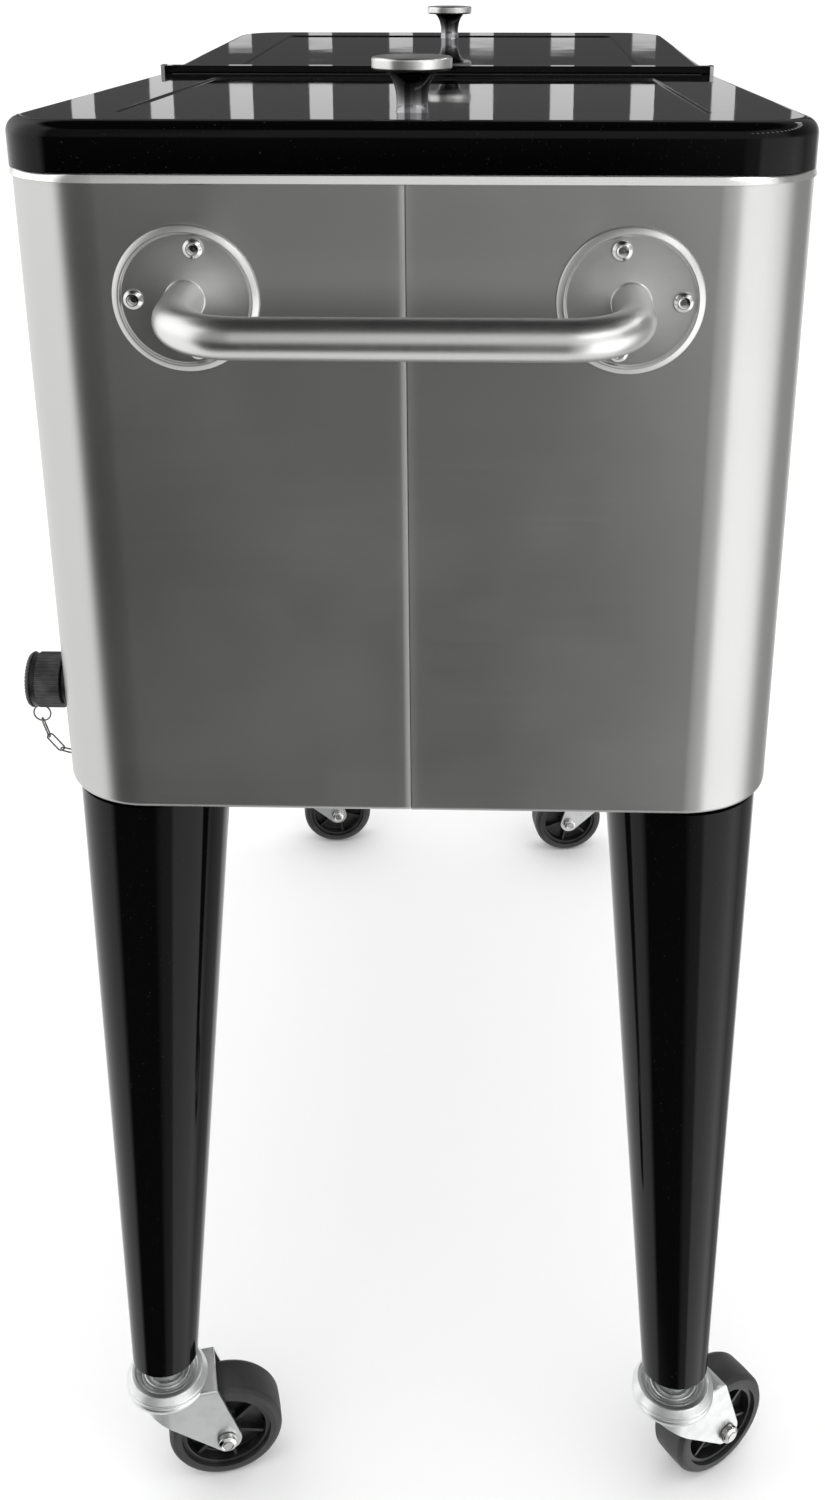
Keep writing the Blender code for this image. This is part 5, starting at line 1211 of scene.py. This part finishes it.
tyre_line = rounded([
    (0.0294, -TYRE_HALF), (0.0328, -TYRE_HALF, 0.0010), (0.0350, -TYRE_HALF + 0.0006, 0.0014),
    (0.0372, -0.0108, 0.0030), (WHEEL_RADIUS, 0, 0.08), (0.0372, 0.0108, 0.0030),
    (0.0350, TYRE_HALF - 0.0006, 0.0014), (0.0328, TYRE_HALF, 0.0010), (0.0294, TYRE_HALF), (0.0294, -TYRE_HALF),
])
rubber, nodes, links, shader = new_finish("tyre_rubber", (0.035, 0.035, 0.036), 0, 0.62)
worn = smear_mask(nodes, links, 45, 1)
tint(nodes, links, shader, worn, (0.018, 0.018, 0.019), (0.046, 0.046, 0.046))
dull(nodes, links, shader, worn, 0.50, 0.75)
grain_relief(nodes, links, shader, 900, 0.00008)
axle_line = rounded([
    (0, -0.0237), (0.0030, -0.0237), (0.0030, -0.0230), (0.0040, -0.0234, 0.0004), (0.0062, -0.0222, 0.0012),
    (0.0064, -0.0188), (0.0040, -0.0188), (0.0040, 0.0188), (0.0064, 0.0188), (0.0062, 0.0222, 0.0012),
    (0.0040, 0.0234, 0.0004), (0.0030, 0.0230), (0.0030, 0.0237), (0, 0.0237),
], 4)
stem = turned_piece("stem_pattern", race_line, sides=80)
fork = pressed_fork("fork_pattern")
hub = wheel_hub("hub_pattern")
tyre = turned_piece("tyre_pattern", tyre_line, axle_frame, 96)
axle = turned_piece("axle_pattern", axle_line, axle_frame, 40)
for corner_name, (across, along) in CORNERS.items():
    foot = Matrix.Translation((across * LEG_FOOT[0], along * LEG_FOOT[1], 0))
    turned = foot @ Matrix.Rotation(math.radians(CASTER_TURNS[corner_name]), 4, "Z")
    for pattern, node, body, slot, finish, place in (
        (stem, "caster_stem", "cabinet", "zinc", zinc, foot),
        (fork, "fork", "caster_" + corner_name, "zinc", zinc, turned),
        (axle, "axle", "caster_" + corner_name, "bright_steel", bright_screw, turned),
        (hub, "wheel", "roller_" + corner_name, "black_plastic", moulded, turned),
        (tyre, "tyre", "roller_" + corner_name, "grey_rubber", rubber, turned),
    ):
        own = twin(pattern, f"{node}_{corner_name}_skin", place)
        fit(own, body, finish, [f"{node}_{corner_name}"])
for pattern in (stem, fork, hub, tyre, axle):
    bpy.data.objects.remove(pattern, do_unlink=True)

# Pieces that keep their CAD shape.
# The pan, the rail, the rods, the seals, the trays, the foam and the drain's spout show little or
# nothing from outside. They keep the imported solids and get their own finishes.
foam_finish, nodes, links, shader = new_finish("foam_finish", (0.55, 0.54, 0.50), 0, 0.9)
cells = nodes.new("ShaderNodeTexVoronoi")
cells.inputs["Scale"].default_value = 700
links.new(scaled_places(nodes, links, (1, 1, 1)), cells.inputs["Vector"])
emboss(nodes, links, shader, cells.outputs["Distance"], 0.0003)
soft_rubber, nodes, links, shader = new_finish("soft_rubber", (0.02, 0.02, 0.02), 0, 0.7)
grain_relief(nodes, links, shader, 1500, 0.00005)
pan_steel = brushed_finish("pan_steel", (0.55, 0.55, 0.54), 0.34, (9, 900, 9), 10, 0.2)
KEPT = (
    (pan_steel, ("bottom_pan",)),
    (lid_enamel, ("centre_rail",)),
    (bright_screw, ("hinge_rod_near", "hinge_rod_far", "knob_near_screw", "knob_far_screw")),
    (moulded, ("drain_spout", "lid_near_tray", "lid_far_tray")),
    (soft_rubber, ("drain_washer", "lid_near_gasket", "lid_far_gasket")),
    (foam_finish, ("wall_foam", "floor_foam", "lid_near_foam", "lid_far_foam")),
)
for finish, kept in KEPT:
    for node in kept:
        frame["nodes"][node].data.materials.clear()
        frame["nodes"][node].data.materials.append(finish)
